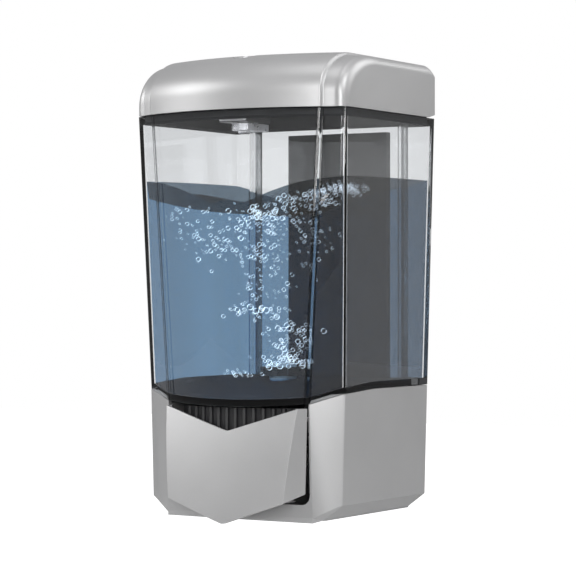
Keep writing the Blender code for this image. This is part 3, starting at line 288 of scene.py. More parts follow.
# ======== pump
# A lying piston pump of white plastic under the tank, held in a black carrier whose ribbed front shows above
# the button, with steel screws, a rubber gasket and a soft outlet nozzle.
black = plastic("black_moulded", (0.018, 0.018, 0.020), 0.38, size=1800.0, depth=0.00002)
white = plastic("white_moulded", (0.72, 0.72, 0.70), 0.42, size=1600.0, depth=0.00002)
rubber = plastic("black_rubber", (0.025, 0.025, 0.026), 0.7, size=2600.0, depth=0.00004)
soft = plastic("silicone", (0.55, 0.56, 0.57), 0.45, size=1400.0, depth=0.00001)
steel = plastic("plain_steel", (0.56, 0.56, 0.58), 0.28, size=900.0, depth=0.000006, tone=0.12, gloss=0.14,
                metallic=1.0)
for name in ("pump_carrier", "latch_block", "nozzle_collar", "neck_nut"):
    dress(name, black)
for name in ("pump_body", "valve_seat", "pump_piston"):
    dress(name, white)
for name in ("tank_gasket", "piston_ring"):
    dress(name, rubber)
dress("outlet_nozzle", soft)
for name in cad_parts:
    if "screw" in name or "pin" in name.split("_") or name in ("inlet_ball", "return_spring", "lock_barrel",
                                                               "lock_cam"):
        dress(name, steel)


spring = merged_copy("return_spring", 0.00002)
spring.modifiers.clear()
spring.data.materials.append(steel)
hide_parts("return_spring")
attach(spring, "dispenser")
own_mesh(spring)


# ======== push button
# A silver moulding hinged at its top in the pocket: a crowned chevron front with straight cheeks.
LIFT = 0.100
SHELL_WALL = 0.0022


def button_front():
    """Grid of the button's face with a cheek at each side.

    Across runs from -1 to 1 and down from 0 to 1. Half the width shrinks evenly down the face, the top and
    the foot fall to a point in the middle in straight lines with a small round, and the depth is a parabola
    across whose height grows down the face, plus a slight belly.
    """
    half = np.concatenate([[0, 0.012, 0.025, 0.04, 0.07], np.linspace(0.12, 0.96, 15), [0.99, 1]])
    across = np.concatenate([-half[:0:-1], half])[None, :]
    down = np.concatenate([[0, 0.008], np.linspace(0.03, 0.97, 15), [0.992, 1]])[:, None]
    soft = np.sqrt(across ** 2 + 0.0004) - 0.02 * (1 - np.abs(across))
    away = 1 - np.minimum(soft, 1)
    wide = 0.0364 - 0.0021 - 0.0042 * down
    high, low = 0.0498 - 0.0102 * away, 0.0090 - 0.0099 * away
    top, foot = 0.0062 - 0.0013 * across ** 2, 0.0116 - 0.0018 * across ** 2
    fall = (0.0498 - high + (high - low) * down) / 0.0408
    depth = 0.0827 + top + (foot - top) * fall + 0.0028 * fall * (1.1 - fall)
    face = np.stack([across * wide, -depth, high + (low - high) * down], axis=-1)
    sides = []
    for side in (-1, 1):
        rear = np.stack([side * (0.0365 - 0.0010 * down), -0.0829 + 0 * down,
                         0.0498 + (0.0127 - 0.0498) * down], axis=-1)
        edge = face[:, :1] if side < 0 else face[:, -1:]
        shares = np.array([0, 0.06, 0.5, 0.92])[None, :, None]
        strip = rear + (edge - rear) * shares
        sides.append(strip if side < 0 else strip[:, ::-1])
    grid = np.concatenate([sides[0], face, sides[1]], axis=1)
    grid[..., 2] -= LIFT
    return grid


def grid_faces(rows, columns, first=0):
    """Quads of an open grid, wound so that a front seen along +Y faces outwards."""
    row, column = np.meshgrid(np.arange(rows - 1), np.arange(columns - 1), indexing="ij")
    quads = np.stack([row * columns + column, (row + 1) * columns + column, (row + 1) * columns + column + 1,
                      row * columns + column + 1], axis=-1)
    return (quads.reshape(-1, 4) + first).tolist()


def open_piece(name, points, faces, material, wall, width, angle=35):
    """Open shell given a wall inwards, with small rounds on its sharp edges."""
    mesh = bpy.data.meshes.new(name)
    mesh.from_pydata(np.asarray(points).reshape(-1, 3).tolist(), [], faces)
    mesh.validate()
    work = bmesh.new()
    work.from_mesh(mesh)
    bmesh.ops.remove_doubles(work, verts=work.verts, dist=MERGE)
    work.to_mesh(mesh)
    work.free()
    mesh.materials.append(material)
    mesh.shade_smooth()
    mesh.set_sharp_from_angle(angle=math.radians(angle))
    made = bpy.data.objects.new(name, mesh)
    bpy.context.collection.objects.link(made)
    thick = made.modifiers.new("wall", "SOLIDIFY")
    thick.thickness = wall
    thick.offset = -1
    thick.use_even_offset = True
    finish_edges(made, width, 3, 32)
    return made


grid = button_front()
button = open_piece("button_shell", grid, grid_faces(*grid.shape[:2]), silver, SHELL_WALL, 0.00045, 40)
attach(button, "button")
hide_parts("push_button")


# ======== tank
# Clear smoke-grey plastic, blow thin at the sides, standing on the base. The thin dark stripes beside its cut
# corners and on its back channel are painted shade, and its near-black floor, underside, low back strip and
# mouth are painted shade for the dark inside of base and cover. Its mouth has a ledge and a lip inside the
# cover, high at the back.
TANK_FOOT = 0.0580
TANK_TOP = 0.1800
TANK = dict(half=(0.0514, 0.0550), side=(0.0757, 0.0805), facet=(0.0373, 0.0449), corner=(0.0827, 0.0839),
            front=(0.0906, 0.0930))
CHANNEL = (0.0385, 0.0070)
SIDE_WALL = 0.0024
FLOOR_WALL = 0.0030
LIP_INSET = 0.0026
MOUTH_INSET = 0.0038


def tank_size(key, height):
    """One of the tank's sizes in plan at a height, a straight share between its foot and its top."""
    low, high = TANK[key]
    return low + (high - low) * (height - TANK_FOOT) / (TANK_TOP - TANK_FOOT)


def half_plan(height, inset=0.0, proud=0.0, radius=0.0010):
    """Right half of the tank in plan at a height, from the middle of the back to the middle of the front.

    The back has the channel for the wall bracket. The rear corner and the side corner are quadratic curves
    through their tangent points, the cut corner is straight, and the front is a parabola that stands proud by
    the given step. An inset moves every line inwards along its own normal.
    """
    half, side, facet, corner, front = (np.full((1, 1), tank_size(key, height))
                                        for key in ("half", "side", "facet", "corner", "front"))
    run = np.hypot(half - facet, corner - side)
    nx, ny = (corner - side) / run, (half - facet) / run
    side = side - inset * (1 - nx) / ny
    half = half - inset
    facet = facet - inset * nx
    corner = corner - inset * ny
    front = front - inset
    rear = 0.0005 + inset
    x, y = [], []

    def line(x0, y0, x1, y1, shares):
        x.append(x0 + (x1 - x0) * shares)
        y.append(y0 + (y1 - y0) * shares)

    ends = np.array([0, 0.03, 0.5, 0.97])[None, :]
    turn = np.linspace(0, 1, 6)[None, :-1]
    wide, deep = CHANNEL[0] + inset, CHANNEL[1] + inset
    line(0 * half, deep, wide - radius + 0 * half, deep, ends)
    x.append(wide - radius * (1 - turn) ** 2 + 0 * half)
    y.append(deep - radius * turn ** 2 + 0 * half)
    line(wide + 0 * half, deep - radius, wide + 0 * half, rear, ends)
    line(wide + 0 * half, rear, half - radius, rear, ends)
    x.append(half - radius * (1 - turn) ** 2)
    y.append(rear + radius * turn ** 2)
    line(half, rear + radius, half, side - radius,
         np.array([0, 0.01, 0.1, 0.3, 0.5, 0.7, 0.9, 0.99])[None, :])
    x.append(half - radius * ny * turn ** 2)
    y.append(side - radius * (1 - turn) ** 2 + radius * nx * turn ** 2)
    line(half - radius * ny, side + radius * nx, facet, corner,
         np.array([0, 0.05, 0.35, 0.65, 0.95])[None, :])
    across = np.concatenate([[1.0, 0.992, 0.984, 0.977, 0.952], np.linspace(0.93, 0, 25)])[None, :]
    step = proud * np.array([0, 0.5, 0.95] + [1] * 27)[None, :]
    x.append(facet * across)
    y.append(front - (front - corner) * across ** 2 + step)
    x = np.concatenate([np.broadcast_to(part, (1, part.shape[1])) for part in x], axis=1)
    y = np.concatenate([np.broadcast_to(part, (1, part.shape[1])) for part in y], axis=1)
    return x, y


def edge_dip(x):
    """How far the joint line between tank and base drops at a distance from the middle, for |x| in metres.

    It falls in a straight line across the cut corner and on a parabola from there to the middle.
    """
    aside = np.abs(x)
    corner = np.interp(aside, [0.0373, 0.0505], [0.0061, 0.0016])
    front = 0.0077 - 0.0016 * (np.minimum(aside, 0.0373) / 0.0373) ** 2
    return np.where(aside < 0.0373, front, corner)


def closed(x, y, z):
    """Rings of points, levels by places, from right half plans: the left half is the mirror image."""
    right = np.stack([x, -y, z], axis=-1)
    left = right[:, -2:0:-1] * (-1, 1, 1)
    return np.concatenate([right, left], axis=1)


def add_piece(name, points, faces, materials, body, angle=35, kinds=None):
    """Object from points and faces, smooth below the given angle, riding on a body."""
    mesh = bpy.data.meshes.new(name)
    mesh.from_pydata(np.asarray(points).reshape(-1, 3).tolist(), [], faces)
    if kinds is not None:
        mesh.polygons.foreach_set("material_index", np.asarray(kinds, dtype=np.int32))
    work = bmesh.new()
    work.from_mesh(mesh)
    bmesh.ops.remove_doubles(work, verts=work.verts, dist=MERGE)
    bmesh.ops.recalc_face_normals(work, faces=work.faces)
    work.to_mesh(mesh)
    work.free()
    for material in materials:
        mesh.materials.append(material)
    mesh.shade_smooth()
    mesh.set_sharp_from_angle(angle=math.radians(angle))
    made = bpy.data.objects.new(name, mesh)
    bpy.context.collection.objects.link(made)
    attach(made, body)
    return made


def ring_faces(levels, around, first=0):
    """Quads between neighbouring rings that close on themselves."""
    level, place = np.meshgrid(np.arange(levels - 1), np.arange(around), indexing="ij")
    beside = (place + 1) % around
    quads = np.stack([level * around + place, level * around + beside, (level + 1) * around + beside,
                      (level + 1) * around + place], axis=-1)
    return (quads.reshape(-1, 4) + first).tolist()


def clear_finish(name, colour, ior, roughness, tint=None, depth=0.0):
    """Glass or liquid that lets lamps through, with an absorbing inside where a tint is given."""
    material = bpy.data.materials.new(name)
    tree, shader, out = plain_nodes(material)
    shader.inputs["Base Color"].default_value = (*colour, 1)
    shader.inputs["Roughness"].default_value = roughness
    shader.inputs["IOR"].default_value = ior
    shader.inputs["Transmission Weight"].default_value = 1.0
    path = tree.nodes.new("ShaderNodeLightPath")
    open_way = node(tree, "ShaderNodeBsdfTransparent")
    open_way.inputs["Color"].default_value = (*(math.sqrt(share) for share in colour), 1)
    mix = node(tree, "ShaderNodeMixShader", [(0, path.outputs["Is Shadow Ray"]), (1, shader.outputs[0]),
                                             (2, open_way.outputs[0])])
    tree.links.new(mix.outputs[0], out.inputs["Surface"])
    if tint:
        inside = node(tree, "ShaderNodeVolumeAbsorption")
        inside.inputs["Color"].default_value = (*tint, 1)
        inside.inputs["Density"].default_value = depth
        tree.links.new(inside.outputs[0], out.inputs["Volume"])
    return material


clear = clear_finish("clear_smoke", (0.93, 0.94, 0.95), 1.46, 0.0, (0.35, 0.37, 0.39), 45.0)
clear.node_tree.nodes["Principled BSDF"].inputs["Specular IOR Level"].default_value = 0.3
# Painted shade: near-black plastic on the clear tank's floor, underside, low back strip, ledge, lip and
# mouth, for the dark inside of base and cover.
painted_shade_dark = plastic("painted_shade_dark", (0.022, 0.023, 0.025), 0.75, size=900.0, depth=0.00001)
def foot_level(x, depth):
    """Height of the tank's underside: level at the back, and down to the dipping joint line at the front."""
    return TANK_FOOT - edge_dip(x) * np.interp(depth, [0.050, 0.0757], [0, 1])


def tank_rings():
    """Closed stack of rings, and the material of the band above each.

    They run outwards over the underside, up the outside, over the ledge and the lip, down the inside, and
    inwards over the floor to its middle. From the joint line to the top each is a straight share of the way.
    """
    low_step, high_step = (half_plan(level, proud=0.0005) for level in (TANK_FOOT, TANK_TOP))
    low_in, high_in = (half_plan(level, SIDE_WALL) for level in (TANK_FOOT, TANK_TOP))
    lip, mouth = (half_plan(TANK_TOP, inset) for inset in (LIP_INSET, MOUTH_INSET))
    middle = np.array([0, -0.045, 0])
    shares = (0.02, 0.3, 0.55, 0.75, 0.9)
    stack, kinds = [], []

    def between(bottom, top, rise, lift=0.0):
        z = foot_level(*bottom) + lift
        z = z + (TANK_TOP - z) * rise
        grow = (z - TANK_FOOT) / (TANK_TOP - TANK_FOOT)
        return closed(bottom[0] + (top[0] - bottom[0]) * grow, bottom[1] + (top[1] - bottom[1]) * grow, z)

    under = between(low_step, high_step, 0.0)
    for share in shares:
        ring = middle + (under - middle) * (share, share, 0)
        ring[..., 2] = foot_level(ring[..., 0], -ring[..., 1])
        stack.append(ring)
        kinds.append(1)
    for rise in (0.0, 0.025, 0.1, 0.2, 0.3, 0.4, 0.5, 0.6, 0.7, 0.8, 0.9, 1.0):
        stack.append(between(low_step, high_step, rise))
        kinds.append(0)
    # Painted shade: the ledge above the outer wall, the lip and the mouth take the near-black finish.
    kinds[-1] = 1
    high_lip = np.where(lip[1] < 0.0125, 0.0100, 0.0040)
    for plan, height in ((lip, TANK_TOP), (lip, TANK_TOP + high_lip), (mouth, TANK_TOP + high_lip),
                         (mouth, TANK_TOP - 0.0025)):
        stack.append(closed(*plan, height + 0 * plan[0]))
        kinds.append(1)
    for rise in (0.97, 0.9, 0.8, 0.7, 0.6, 0.5, 0.4, 0.3, 0.2, 0.1, 0.0):
        stack.append(between(low_in, high_in, rise, FLOOR_WALL))
        kinds.append(0)
    floor = stack[-1]
    kinds[-1] = 1
    for share in shares[::-1]:
        ring = middle + (floor - middle) * (share, share, 0)
        ring[..., 2] = foot_level(ring[..., 0], -ring[..., 1]) + FLOOR_WALL
        stack.append(ring)
        kinds.append(1)
    return np.concatenate(stack), kinds[:-1]


# Painted shade: a dark tint of the clear plastic, for the thin dark lines beside the cut corners and on the
# back channel.
painted_edge_shade = clear_finish("painted_edge_shade", (0.12, 0.125, 0.13), 1.46, 0.05)
rings, bands = tank_rings()
around = rings.shape[1]
rings[..., 2] -= LIFT
faces = ring_faces(len(bands) + 1, around)
middles = rings.reshape(-1, 3)[np.array(faces)].mean(axis=1)
kinds = np.repeat(bands, around)
facet = tank_size("facet", middles[:, 2] + LIFT)
off = facet - np.abs(middles[:, 0])
outer = np.repeat(np.arange(len(bands)) < 17, around) & (kinds == 0)
front = outer & (-middles[:, 1] > 0.0800)
# Painted shade: narrow stripes on each side of the front's cut corners take the dark tint.
kinds[front & (off > facet * 0.023) & (off < facet * 0.048)] = 2
kinds[front & (off < 0) & (off > -0.0006)] = 2
# Painted shade: the outside low at the back, by the wall, takes the near-black finish.
kinds[outer & (-middles[:, 1] < 0.0080) & (middles[:, 2] < 0.0612 - LIFT)] = 1
# Painted shade: the sides of the back channel take the dark tint too.
kinds[outer & (np.abs(middles[:, 0]) < 0.0387) & (-middles[:, 1] < 0.0068) & (-middles[:, 1] > 0.0006)] = 2
faces.append(list(range(around)))
faces.append(list(range(len(bands) * around, (len(bands) + 1) * around)))
kinds = np.concatenate([kinds, [1, 1]])
tank = add_piece("tank_shell", rings, faces, [clear, painted_shade_dark, painted_edge_shade], "dispenser", 28, kinds)
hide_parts("tank")


# ======== liquid soap
# Clear blue soap that fills the tank to a rolling surface, with a trail of air bubbles.
SOAP_LIFT = FLOOR_WALL + 0.0002
SOAP_DEPTH = ((0.52, 0.55, 0.58), 3.0)
soap = clear_finish("blue_soap", (0.145, 0.275, 0.435), 1.0, 0.0, *SOAP_DEPTH)
tree = soap.node_tree
# Painted light and shade: the soap's colour runs across the tank, lighter left of the middle and darker
# towards the right side.
place = node(tree, "ShaderNodeTexCoord")
split = node(tree, "ShaderNodeSeparateXYZ", [("Vector", place.outputs["Object"])])
bands = node(tree, "ShaderNodeMapRange", [("Value", split.outputs["X"])])
bands.inputs["From Min"].default_value = -TANK["half"][1]
bands.inputs["From Max"].default_value = TANK["half"][1]
painted_light_ramp = node(tree, "ShaderNodeValToRGB", [("Fac", bands.outputs[0])])
painted_light_stops = ((0.0, (0.150, 0.280, 0.440)), (0.20, (0.170, 0.315, 0.485)), (0.42, (0.300, 0.505, 0.710)),
         (0.62, (0.260, 0.440, 0.640)), (0.85, (0.100, 0.165, 0.250)), (1.0, (0.060, 0.090, 0.130)))
while len(painted_light_ramp.color_ramp.elements) < len(painted_light_stops):
    painted_light_ramp.color_ramp.elements.new(0.5)
for element, (at, colour) in zip(painted_light_ramp.color_ramp.elements, painted_light_stops):
    element.position, element.color = at, (*colour, 1)
tree.links.new(painted_light_ramp.outputs["Color"], tree.nodes["Principled BSDF"].inputs["Base Color"])
# Painted shade: the soap's top surface is tinted dark grey, for the darker look of the surface seen from
# below.
painted_shade_soap_top = clear_finish("soap_surface_painted_shade", (0.24, 0.235, 0.235), 1.0, 0.0, *SOAP_DEPTH)


def soap_level(x, depth):
    """Height of the surface: one wave along the front and another along the back, read between known heights,
    blended by a power of the depth."""
    front = np.interp(x, [-0.0540, -0.0310, -0.0150, 0.0040, 0.0090, 0.0206, 0.0308, 0.0409, 0.0510, 0.0540],
                      [0.1448, 0.1446, 0.1438, 0.1404, 0.1395, 0.1439, 0.1472, 0.1495, 0.1503, 0.1508])
    rear = np.interp(x, [-0.0540, -0.0460, -0.0180, 0.0, 0.0250, 0.0540],
                     [0.1383, 0.1379, 0.1360, 0.1375, 0.1450, 0.1520])
    return rear + (front - rear) * np.clip(depth / 0.088, 0, 1) ** 2.4


def soap_rings():
    """Rings from the middle of the underside outwards, up the wall, and inwards over the surface."""
    low, high = (half_plan(level, SIDE_WALL + 0.0003) for level in (TANK_FOOT, TANK_TOP))
    middle = np.array([0, -0.048, 0])
    foot = foot_level(*low) + SOAP_LIFT
    wall = []
    for share in np.linspace(0, 1, 9):
        z = foot + (soap_level(*high) - foot) * share
        grow = (z - TANK_FOOT) / (TANK_TOP - TANK_FOOT)
        wall.append(closed(low[0] + (high[0] - low[0]) * grow, low[1] + (high[1] - low[1]) * grow, z))
    stack = []
    for share in (0.02, 0.2, 0.35, 0.5, 0.65, 0.8, 0.9, 0.97):
        ring = middle + (wall[0] - middle) * (share, share, 0)
        ring[..., 2] = foot_level(ring[..., 0], -ring[..., 1]) + SOAP_LIFT
        stack.append(ring)
    stack += wall
    for share in (0.98, 0.93, 0.86, 0.78, 0.68, 0.56, 0.44, 0.3, 0.15, 0.02):
        ring = middle + (wall[-1] - middle) * (share, share, 0)
        ring[..., 2] = soap_level(ring[..., 0], -ring[..., 1])
        stack.append(ring)
    return np.concatenate(stack), len(stack)


rings, levels = soap_rings()
rings[..., 2] -= LIFT
faces = ring_faces(levels, around)
kinds = np.repeat(np.arange(levels - 1) >= 16, around).astype(int)
faces.append(list(range(around)))
faces.append(list(range((levels - 1) * around, levels * around)))
kinds = np.concatenate([kinds, [0, 1]])
liquid = add_piece("soap_body", rings, faces, [soap, painted_shade_soap_top], "dispenser", 40, kinds)
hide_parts("liquid_soap")


# ======== air bubbles
# Air stirred into the soap: foam under the surface, a loose trail down the middle and two swirls low down.
# Each bubble is a small shell whose rim glows with a painted highlight, brightest on the side towards the key
# lamp and broken into arcs by noise.
painted_rim_highlight = bpy.data.materials.new("bubble_painted_highlight")
tree, shader, out = plain_nodes(painted_rim_highlight)
shader.inputs["Base Color"].default_value = (0.95, 0.97, 1, 1)
shader.inputs["Roughness"].default_value = 0.3
shader.inputs["Emission Color"].default_value = (1.0, 0.92, 0.86, 1)
shader.inputs["Emission Strength"].default_value = 3.4
# Painted highlight: the rim emits its own light, masked to arcs by noise and by how far the normal turns
# towards the key lamp.
facing = node(tree, "ShaderNodeLayerWeight", blend=0.5)
place = node(tree, "ShaderNodeTexCoord")
patches = node(tree, "ShaderNodeTexNoise", [("Vector", place.outputs["Object"])], scale=900.0, detail=1.0)
lit = node(tree, "ShaderNodeVectorMath", [(0, place.outputs["Normal"])], operation="DOT_PRODUCT")
lit.inputs[1].default_value = (-0.30, -0.10, 0.45)
both = node(tree, "ShaderNodeMath", [(0, patches.outputs["Fac"]), (1, lit.outputs["Value"])], operation="ADD")
arcs = node(tree, "ShaderNodeMapRange", [("Value", both.outputs[0])])
arcs.inputs["From Min"].default_value = 0.56
arcs.inputs["From Max"].default_value = 0.72
edge = node(tree, "ShaderNodeMapRange", [("Value", facing.outputs["Facing"])])
edge.inputs["From Min"].default_value = 0.35
edge.inputs["From Max"].default_value = 0.75
cover_share = node(tree, "ShaderNodeMath", [(0, arcs.outputs[0]), (1, edge.outputs[0])], operation="MULTIPLY")
open_way = node(tree, "ShaderNodeBsdfTransparent")
mix = node(tree, "ShaderNodeMixShader", [(0, cover_share.outputs[0]), (1, open_way.outputs[0]),
                                         (2, shader.outputs[0])])
tree.links.new(mix.outputs[0], out.inputs["Surface"])


def scatter(random, count, middle, spread, sizes):
    """Places and radii: normal spread about a middle, and radii evenly spread on a log scale."""
    places = random.normal(middle, spread, (count, 3))
    radii = np.exp(random.uniform(math.log(sizes[0]), math.log(sizes[1]), count))
    return places, radii


def bubble_cloud():
    """All bubbles in one mesh: a unit sphere of ten by six faces, scaled and moved to each place."""
    random = np.random.default_rng(11)
    clouds = (
        (130, (0.0400, 0.0600, 0.1462), (0.0060, 0.0050, 0.0016), (0.00030, 0.0009)),
        (90, (0.0300, 0.0680, 0.1415), (0.0070, 0.0040, 0.0024), (0.00030, 0.0011)),
        (110, (0.0120, 0.0760, 0.1340), (0.0080, 0.0040, 0.0035), (0.00030, 0.0012)),
        (45, (-0.0300, 0.0780, 0.1300), (0.0100, 0.0030, 0.0050), (0.00030, 0.0010)),
        (45, (-0.0120, 0.0780, 0.1220), (0.0080, 0.0030, 0.0060), (0.00030, 0.0010)),
        (110, (0.0080, 0.0760, 0.1180), (0.0070, 0.0040, 0.0100), (0.00028, 0.0010)),
        (60, (0.0280, 0.0660, 0.1230), (0.0070, 0.0040, 0.0060), (0.00028, 0.0009)),
        (55, (0.0100, 0.0740, 0.0960), (0.0070, 0.0040, 0.0120), (0.00028, 0.0009)),
        (26, (0.0040, 0.0800, 0.0925), (0.0065, 0.0020, 0.0018), (0.00040, 0.0015)),
        (60, (0.0200, 0.0700, 0.0790), (0.0045, 0.0040, 0.0055), (0.00035, 0.0013)),
        (34, (0.0180, 0.0700, 0.0700), (0.0075, 0.0030, 0.0014), (0.00050, 0.0015)),
        (20, (-0.0030, 0.0760, 0.0640), (0.0050, 0.0030, 0.0012), (0.00035, 0.0011)),
    )
    places, radii = (np.concatenate(parts) for parts in zip(*(scatter(random, *cloud) for cloud in clouds)))
    reach = soap_level(places[:, 0], places[:, 1]) - radii - 0.0006
    places[:, 2] = np.minimum(places[:, 2], reach)
    half, facet, corner, front = (tank_size(key, places[:, 2])
                                  for key in ("half", "facet", "corner", "front"))
    inside = np.abs(places[:, 0]) < half - 0.0032 - radii
    across = places[:, 0] / facet
    deepest = np.where(np.abs(across) < 1, front - (front - corner) * across ** 2,
                       TANK["corner"][0] - (np.abs(places[:, 0]) - facet) * 0.5)
    inside &= (places[:, 1] < deepest - 0.0034 - radii) & (places[:, 2] > 0.0625 + radii)
    places, radii = places[inside], radii[inside]
    turn = np.linspace(0, 2 * math.pi, 10, endpoint=False)[None, :]
    tilt = np.linspace(0, math.pi, 7)[1:-1, None]
    ball = np.stack([np.sin(tilt) * np.cos(turn), np.sin(tilt) * np.sin(turn), np.cos(tilt) + 0 * turn],
                    axis=-1)
    ball = np.concatenate([ball.reshape(-1, 3), [[0, 0, 1], [0, 0, -1]]])
    points = places[:, None, :] * (1, -1, 1) + ball[None] * radii[:, None, None]
    sides = ring_faces(5, 10)
    one = [face[::-1] for face in sides]
    one += [[50, i, (i + 1) % 10] for i in range(10)] + [[51, 40 + (i + 1) % 10, 40 + i] for i in range(10)]
    faces = [[corner + 52 * k for corner in face] for k in range(len(places)) for face in one]
    points[..., 2] -= LIFT
    return points.reshape(-1, 3), faces


points, faces = bubble_cloud()
mesh = bpy.data.meshes.new("air_bubbles")
mesh.from_pydata(points.tolist(), [], faces)
mesh.materials.append(painted_rim_highlight)
mesh.shade_smooth()
bubbles = bpy.data.objects.new("air_bubbles", mesh)
bpy.context.collection.objects.link(bubbles)
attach(bubbles, "dispenser")


# ======== cover
# A silver cap with a raised, crowned band down its middle, rounded to the front and hinged at the back. Its
# inside is left in dark plastic.
HINGE_DEPTH = 0.0061
HINGE_HEIGHT = 0.1988
COVER_FOOT = 0.1804
COVER_TOP = 0.2058
NOSE_HEIGHT = 0.0182
NOSE_LENGTH = 0.026
SKIRT_RADIUS = 0.0056
BAND_HALF = 0.044
BAND_STEP = 0.0014
COVER_EDGE = 0.00035
LOCK_DEPTH = 0.0760
BARREL_HOLE = 0.0053


def smooth(share):
    """Share eased in and out: three times its square less twice its cube."""
    return share * share * (3 - 2 * share)


def cover_profile(front, top, steps=26):
    """Side view at each station, from the front foot over the nose and along the top to the rear skirt.

    A straight rise, a quarter ellipse of the nose's length and height, a straight top and a quarter circle
    about the hinge, and a short skirt.
    """
    turn = np.linspace(0, math.pi / 2, steps)[None, :]
    waist = top - NOSE_HEIGHT
    rise = np.linspace(0, 1, 8)[None, :-1]
    flat = np.linspace(0, 1, 12)[None, 1:-1]
    drop = np.array([[0.5, 1.0]])
    depth = [front + 0 * rise,
             front - NOSE_LENGTH * (1 - np.cos(turn)),
             front - NOSE_LENGTH + (HINGE_DEPTH - front + NOSE_LENGTH) * flat,
             HINGE_DEPTH - SKIRT_RADIUS * np.sin(turn) + 0 * front,
             HINGE_DEPTH - SKIRT_RADIUS + 0 * drop + 0 * front]
    height = [COVER_FOOT + (waist - COVER_FOOT) * rise,
              waist + NOSE_HEIGHT * np.sin(turn),
              top + 0 * flat,
              HINGE_HEIGHT + (top - HINGE_HEIGHT) * np.cos(turn),
              HINGE_HEIGHT - 0.0030 * drop + 0 * front]
    return np.concatenate(depth, axis=1), np.concatenate(height, axis=1)


def cover_shell():
    """Stations from left to right: the crowned band, its edge, the flat shoulder and the fillet."""
    share = np.concatenate([np.linspace(0, 0.96, 17), [0.985, 1.0]])
    x = BAND_HALF * share
    front = 0.0953 - 0.0093 * share ** 2
    top = COVER_TOP + 0 * share
    ease = np.array([0.12, 0.2, 0.3, 0.4, 0.5, 0.6, 0.7, 0.78, 0.9, 1])
    step = smooth(np.clip((ease - 0.15) / 0.6, 0, 1))
    x = np.concatenate([x, BAND_HALF + 0.0022 * ease])
    front = np.concatenate([front, 0.0860 - 0.0007 * ease - 0.0009 * step])
    top = np.concatenate([top, COVER_TOP - BAND_STEP * step])
    run = np.linspace(0, 1, 6)[1:]
    x = np.concatenate([x, 0.0462 + 0.0045 * run])
    front = np.concatenate([front, 0.0844 - 0.00174 * run])
    top = np.concatenate([top, COVER_TOP - BAND_STEP + 0 * run])
    turn = np.linspace(0, math.pi / 2, 13)[1:]
    fall = 0.0043 * (1 - np.cos(turn))
    x = np.concatenate([x, 0.0507 + 0.0043 * np.sin(turn)])
    front = np.concatenate([front, 0.08266 - fall])
    top = np.concatenate([top, COVER_TOP - BAND_STEP - fall])
    x, front, top = (np.concatenate([sign * half[:0:-1], half])[:, None]
                     for sign, half in ((-1, x), (1, front), (1, top)))
    depth, height = cover_profile(front, top)
    return np.stack([x + 0 * depth, -depth, height - LIFT], axis=-1)


points = cover_shell()
stations, places = points.shape[:2]
faces = grid_faces(stations, places)
side_feet = []
for end in (0, stations - 1):
    across = points[end, 0, 0]
    extra = np.array([[across, SKIRT_RADIUS - HINGE_DEPTH, COVER_FOOT + 0.0013 - LIFT],
                      [across, -HINGE_DEPTH, COVER_FOOT - LIFT]])
    first = stations * places + len(side_feet)
    side_feet.extend(extra)
    loop = list(range(end * places, (end + 1) * places)) + [first, first + 1]
    faces.append(loop if end == 0 else loop[::-1])
points = np.concatenate([points.reshape(-1, 3), np.array(side_feet)])
cover = open_piece("cover_shell", points, faces, silver, SHELL_WALL, COVER_EDGE, 40)
cover.data.materials.append(plastic("cover_inside", (0.045, 0.046, 0.048), 0.6))
cover.modifiers["wall"].material_offset = 1


def solid_rings(rings):
    """Closed surface through rings of equal length, capped at both ends."""
    count = len(rings[0])
    faces = ring_faces(len(rings), count)
    faces.append(list(range(count)))
    faces.append(list(range((len(rings) - 1) * count, len(rings) * count)))
    return np.concatenate(rings), faces


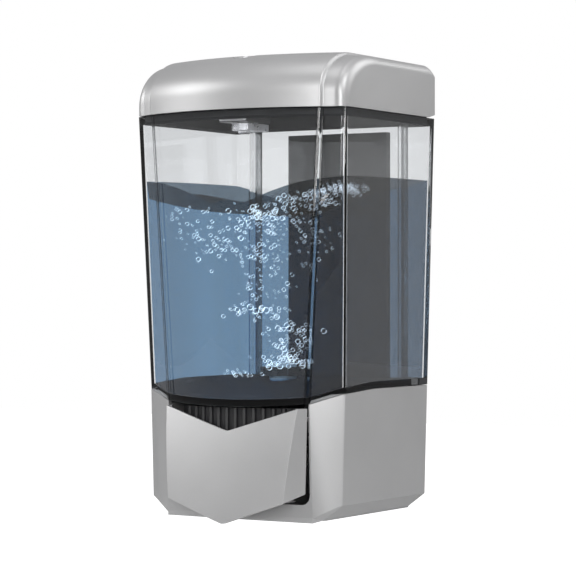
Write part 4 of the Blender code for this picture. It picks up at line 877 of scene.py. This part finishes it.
def round_cutter(radius, depth, low, high, sides=64):
    """Upright closed cylinder in the middle: a circle at a depth from the wall, at the two heights."""
    turn = np.linspace(0, 2 * math.pi, sides, endpoint=False)
    ring = np.column_stack([radius * np.cos(turn), -depth + radius * np.sin(turn), 0 * turn])
    points, faces = solid_rings([ring + (0, 0, low - LIFT), ring + (0, 0, high - LIFT)])
    mesh = bpy.data.meshes.new("cutter")
    mesh.from_pydata(points.tolist(), [], faces)
    work = bmesh.new()
    work.from_mesh(mesh)
    bmesh.ops.recalc_face_normals(work, faces=work.faces)
    work.to_mesh(mesh)
    work.free()
    made = bpy.data.objects.new("cutter", mesh)
    bpy.context.collection.objects.link(made)
    return made


def bore(piece, cutter):
    """Cuts a hole through a piece once and for all, before its edges are rounded."""
    piece.modifiers.remove(piece.modifiers["edges"])
    step = piece.modifiers.new("hole", "BOOLEAN")
    step.operation, step.solver, step.object = "DIFFERENCE", "EXACT", cutter
    bpy.context.view_layer.update()
    cut = bpy.data.meshes.new_from_object(piece.evaluated_get(bpy.context.evaluated_depsgraph_get()))
    piece.modifiers.clear()
    piece.data = cut
    bpy.data.objects.remove(cutter)


bore(cover, round_cutter(BARREL_HOLE, LOCK_DEPTH, 0.1950, 0.2150))
cover.data.set_sharp_from_angle(angle=math.radians(40))
finish_edges(cover, COVER_EDGE, 3, 40)
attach(cover, "cover")
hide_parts("top_cover")


# ======== latch
# A black block under the cover's front holds the lock; a bright pressed plate covers its front face.
def pressed_plate(half, low, high, depth, thick):
    """Small rounded plate standing upright: a superellipse outline in front view, carried back by its
    thickness, with a slightly raised middle."""
    turn = np.linspace(0, 2 * math.pi, 40, endpoint=False)
    x = half * np.sign(np.cos(turn)) * np.abs(np.cos(turn)) ** 0.25
    z = (high + low) / 2 + (high - low) / 2 * np.sign(np.sin(turn)) * np.abs(np.sin(turn)) ** 0.25
    rings = []
    for share, step in ((1, 0.0), (1, 0.8), (0.96, 1.0), (0.85, 1.0)):
        rings.append(np.column_stack([x * share, -depth - thick * step + 0 * x,
                                      (high + low) / 2 + (z - (high + low) / 2) * share - LIFT]))
    return solid_rings(rings)


bright = plastic("bright_plate", (0.75, 0.75, 0.76), 0.25, size=1200.0, depth=0.000004, metallic=0.6)
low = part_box("latch_block")[0]
points, faces = pressed_plate(0.0070, low[2] + LIFT + 0.0004, 0.1802, -low[1] - 0.0001, 0.0005)
plate = add_piece("latch_plate", points, faces, [bright], "cover", angle=40)
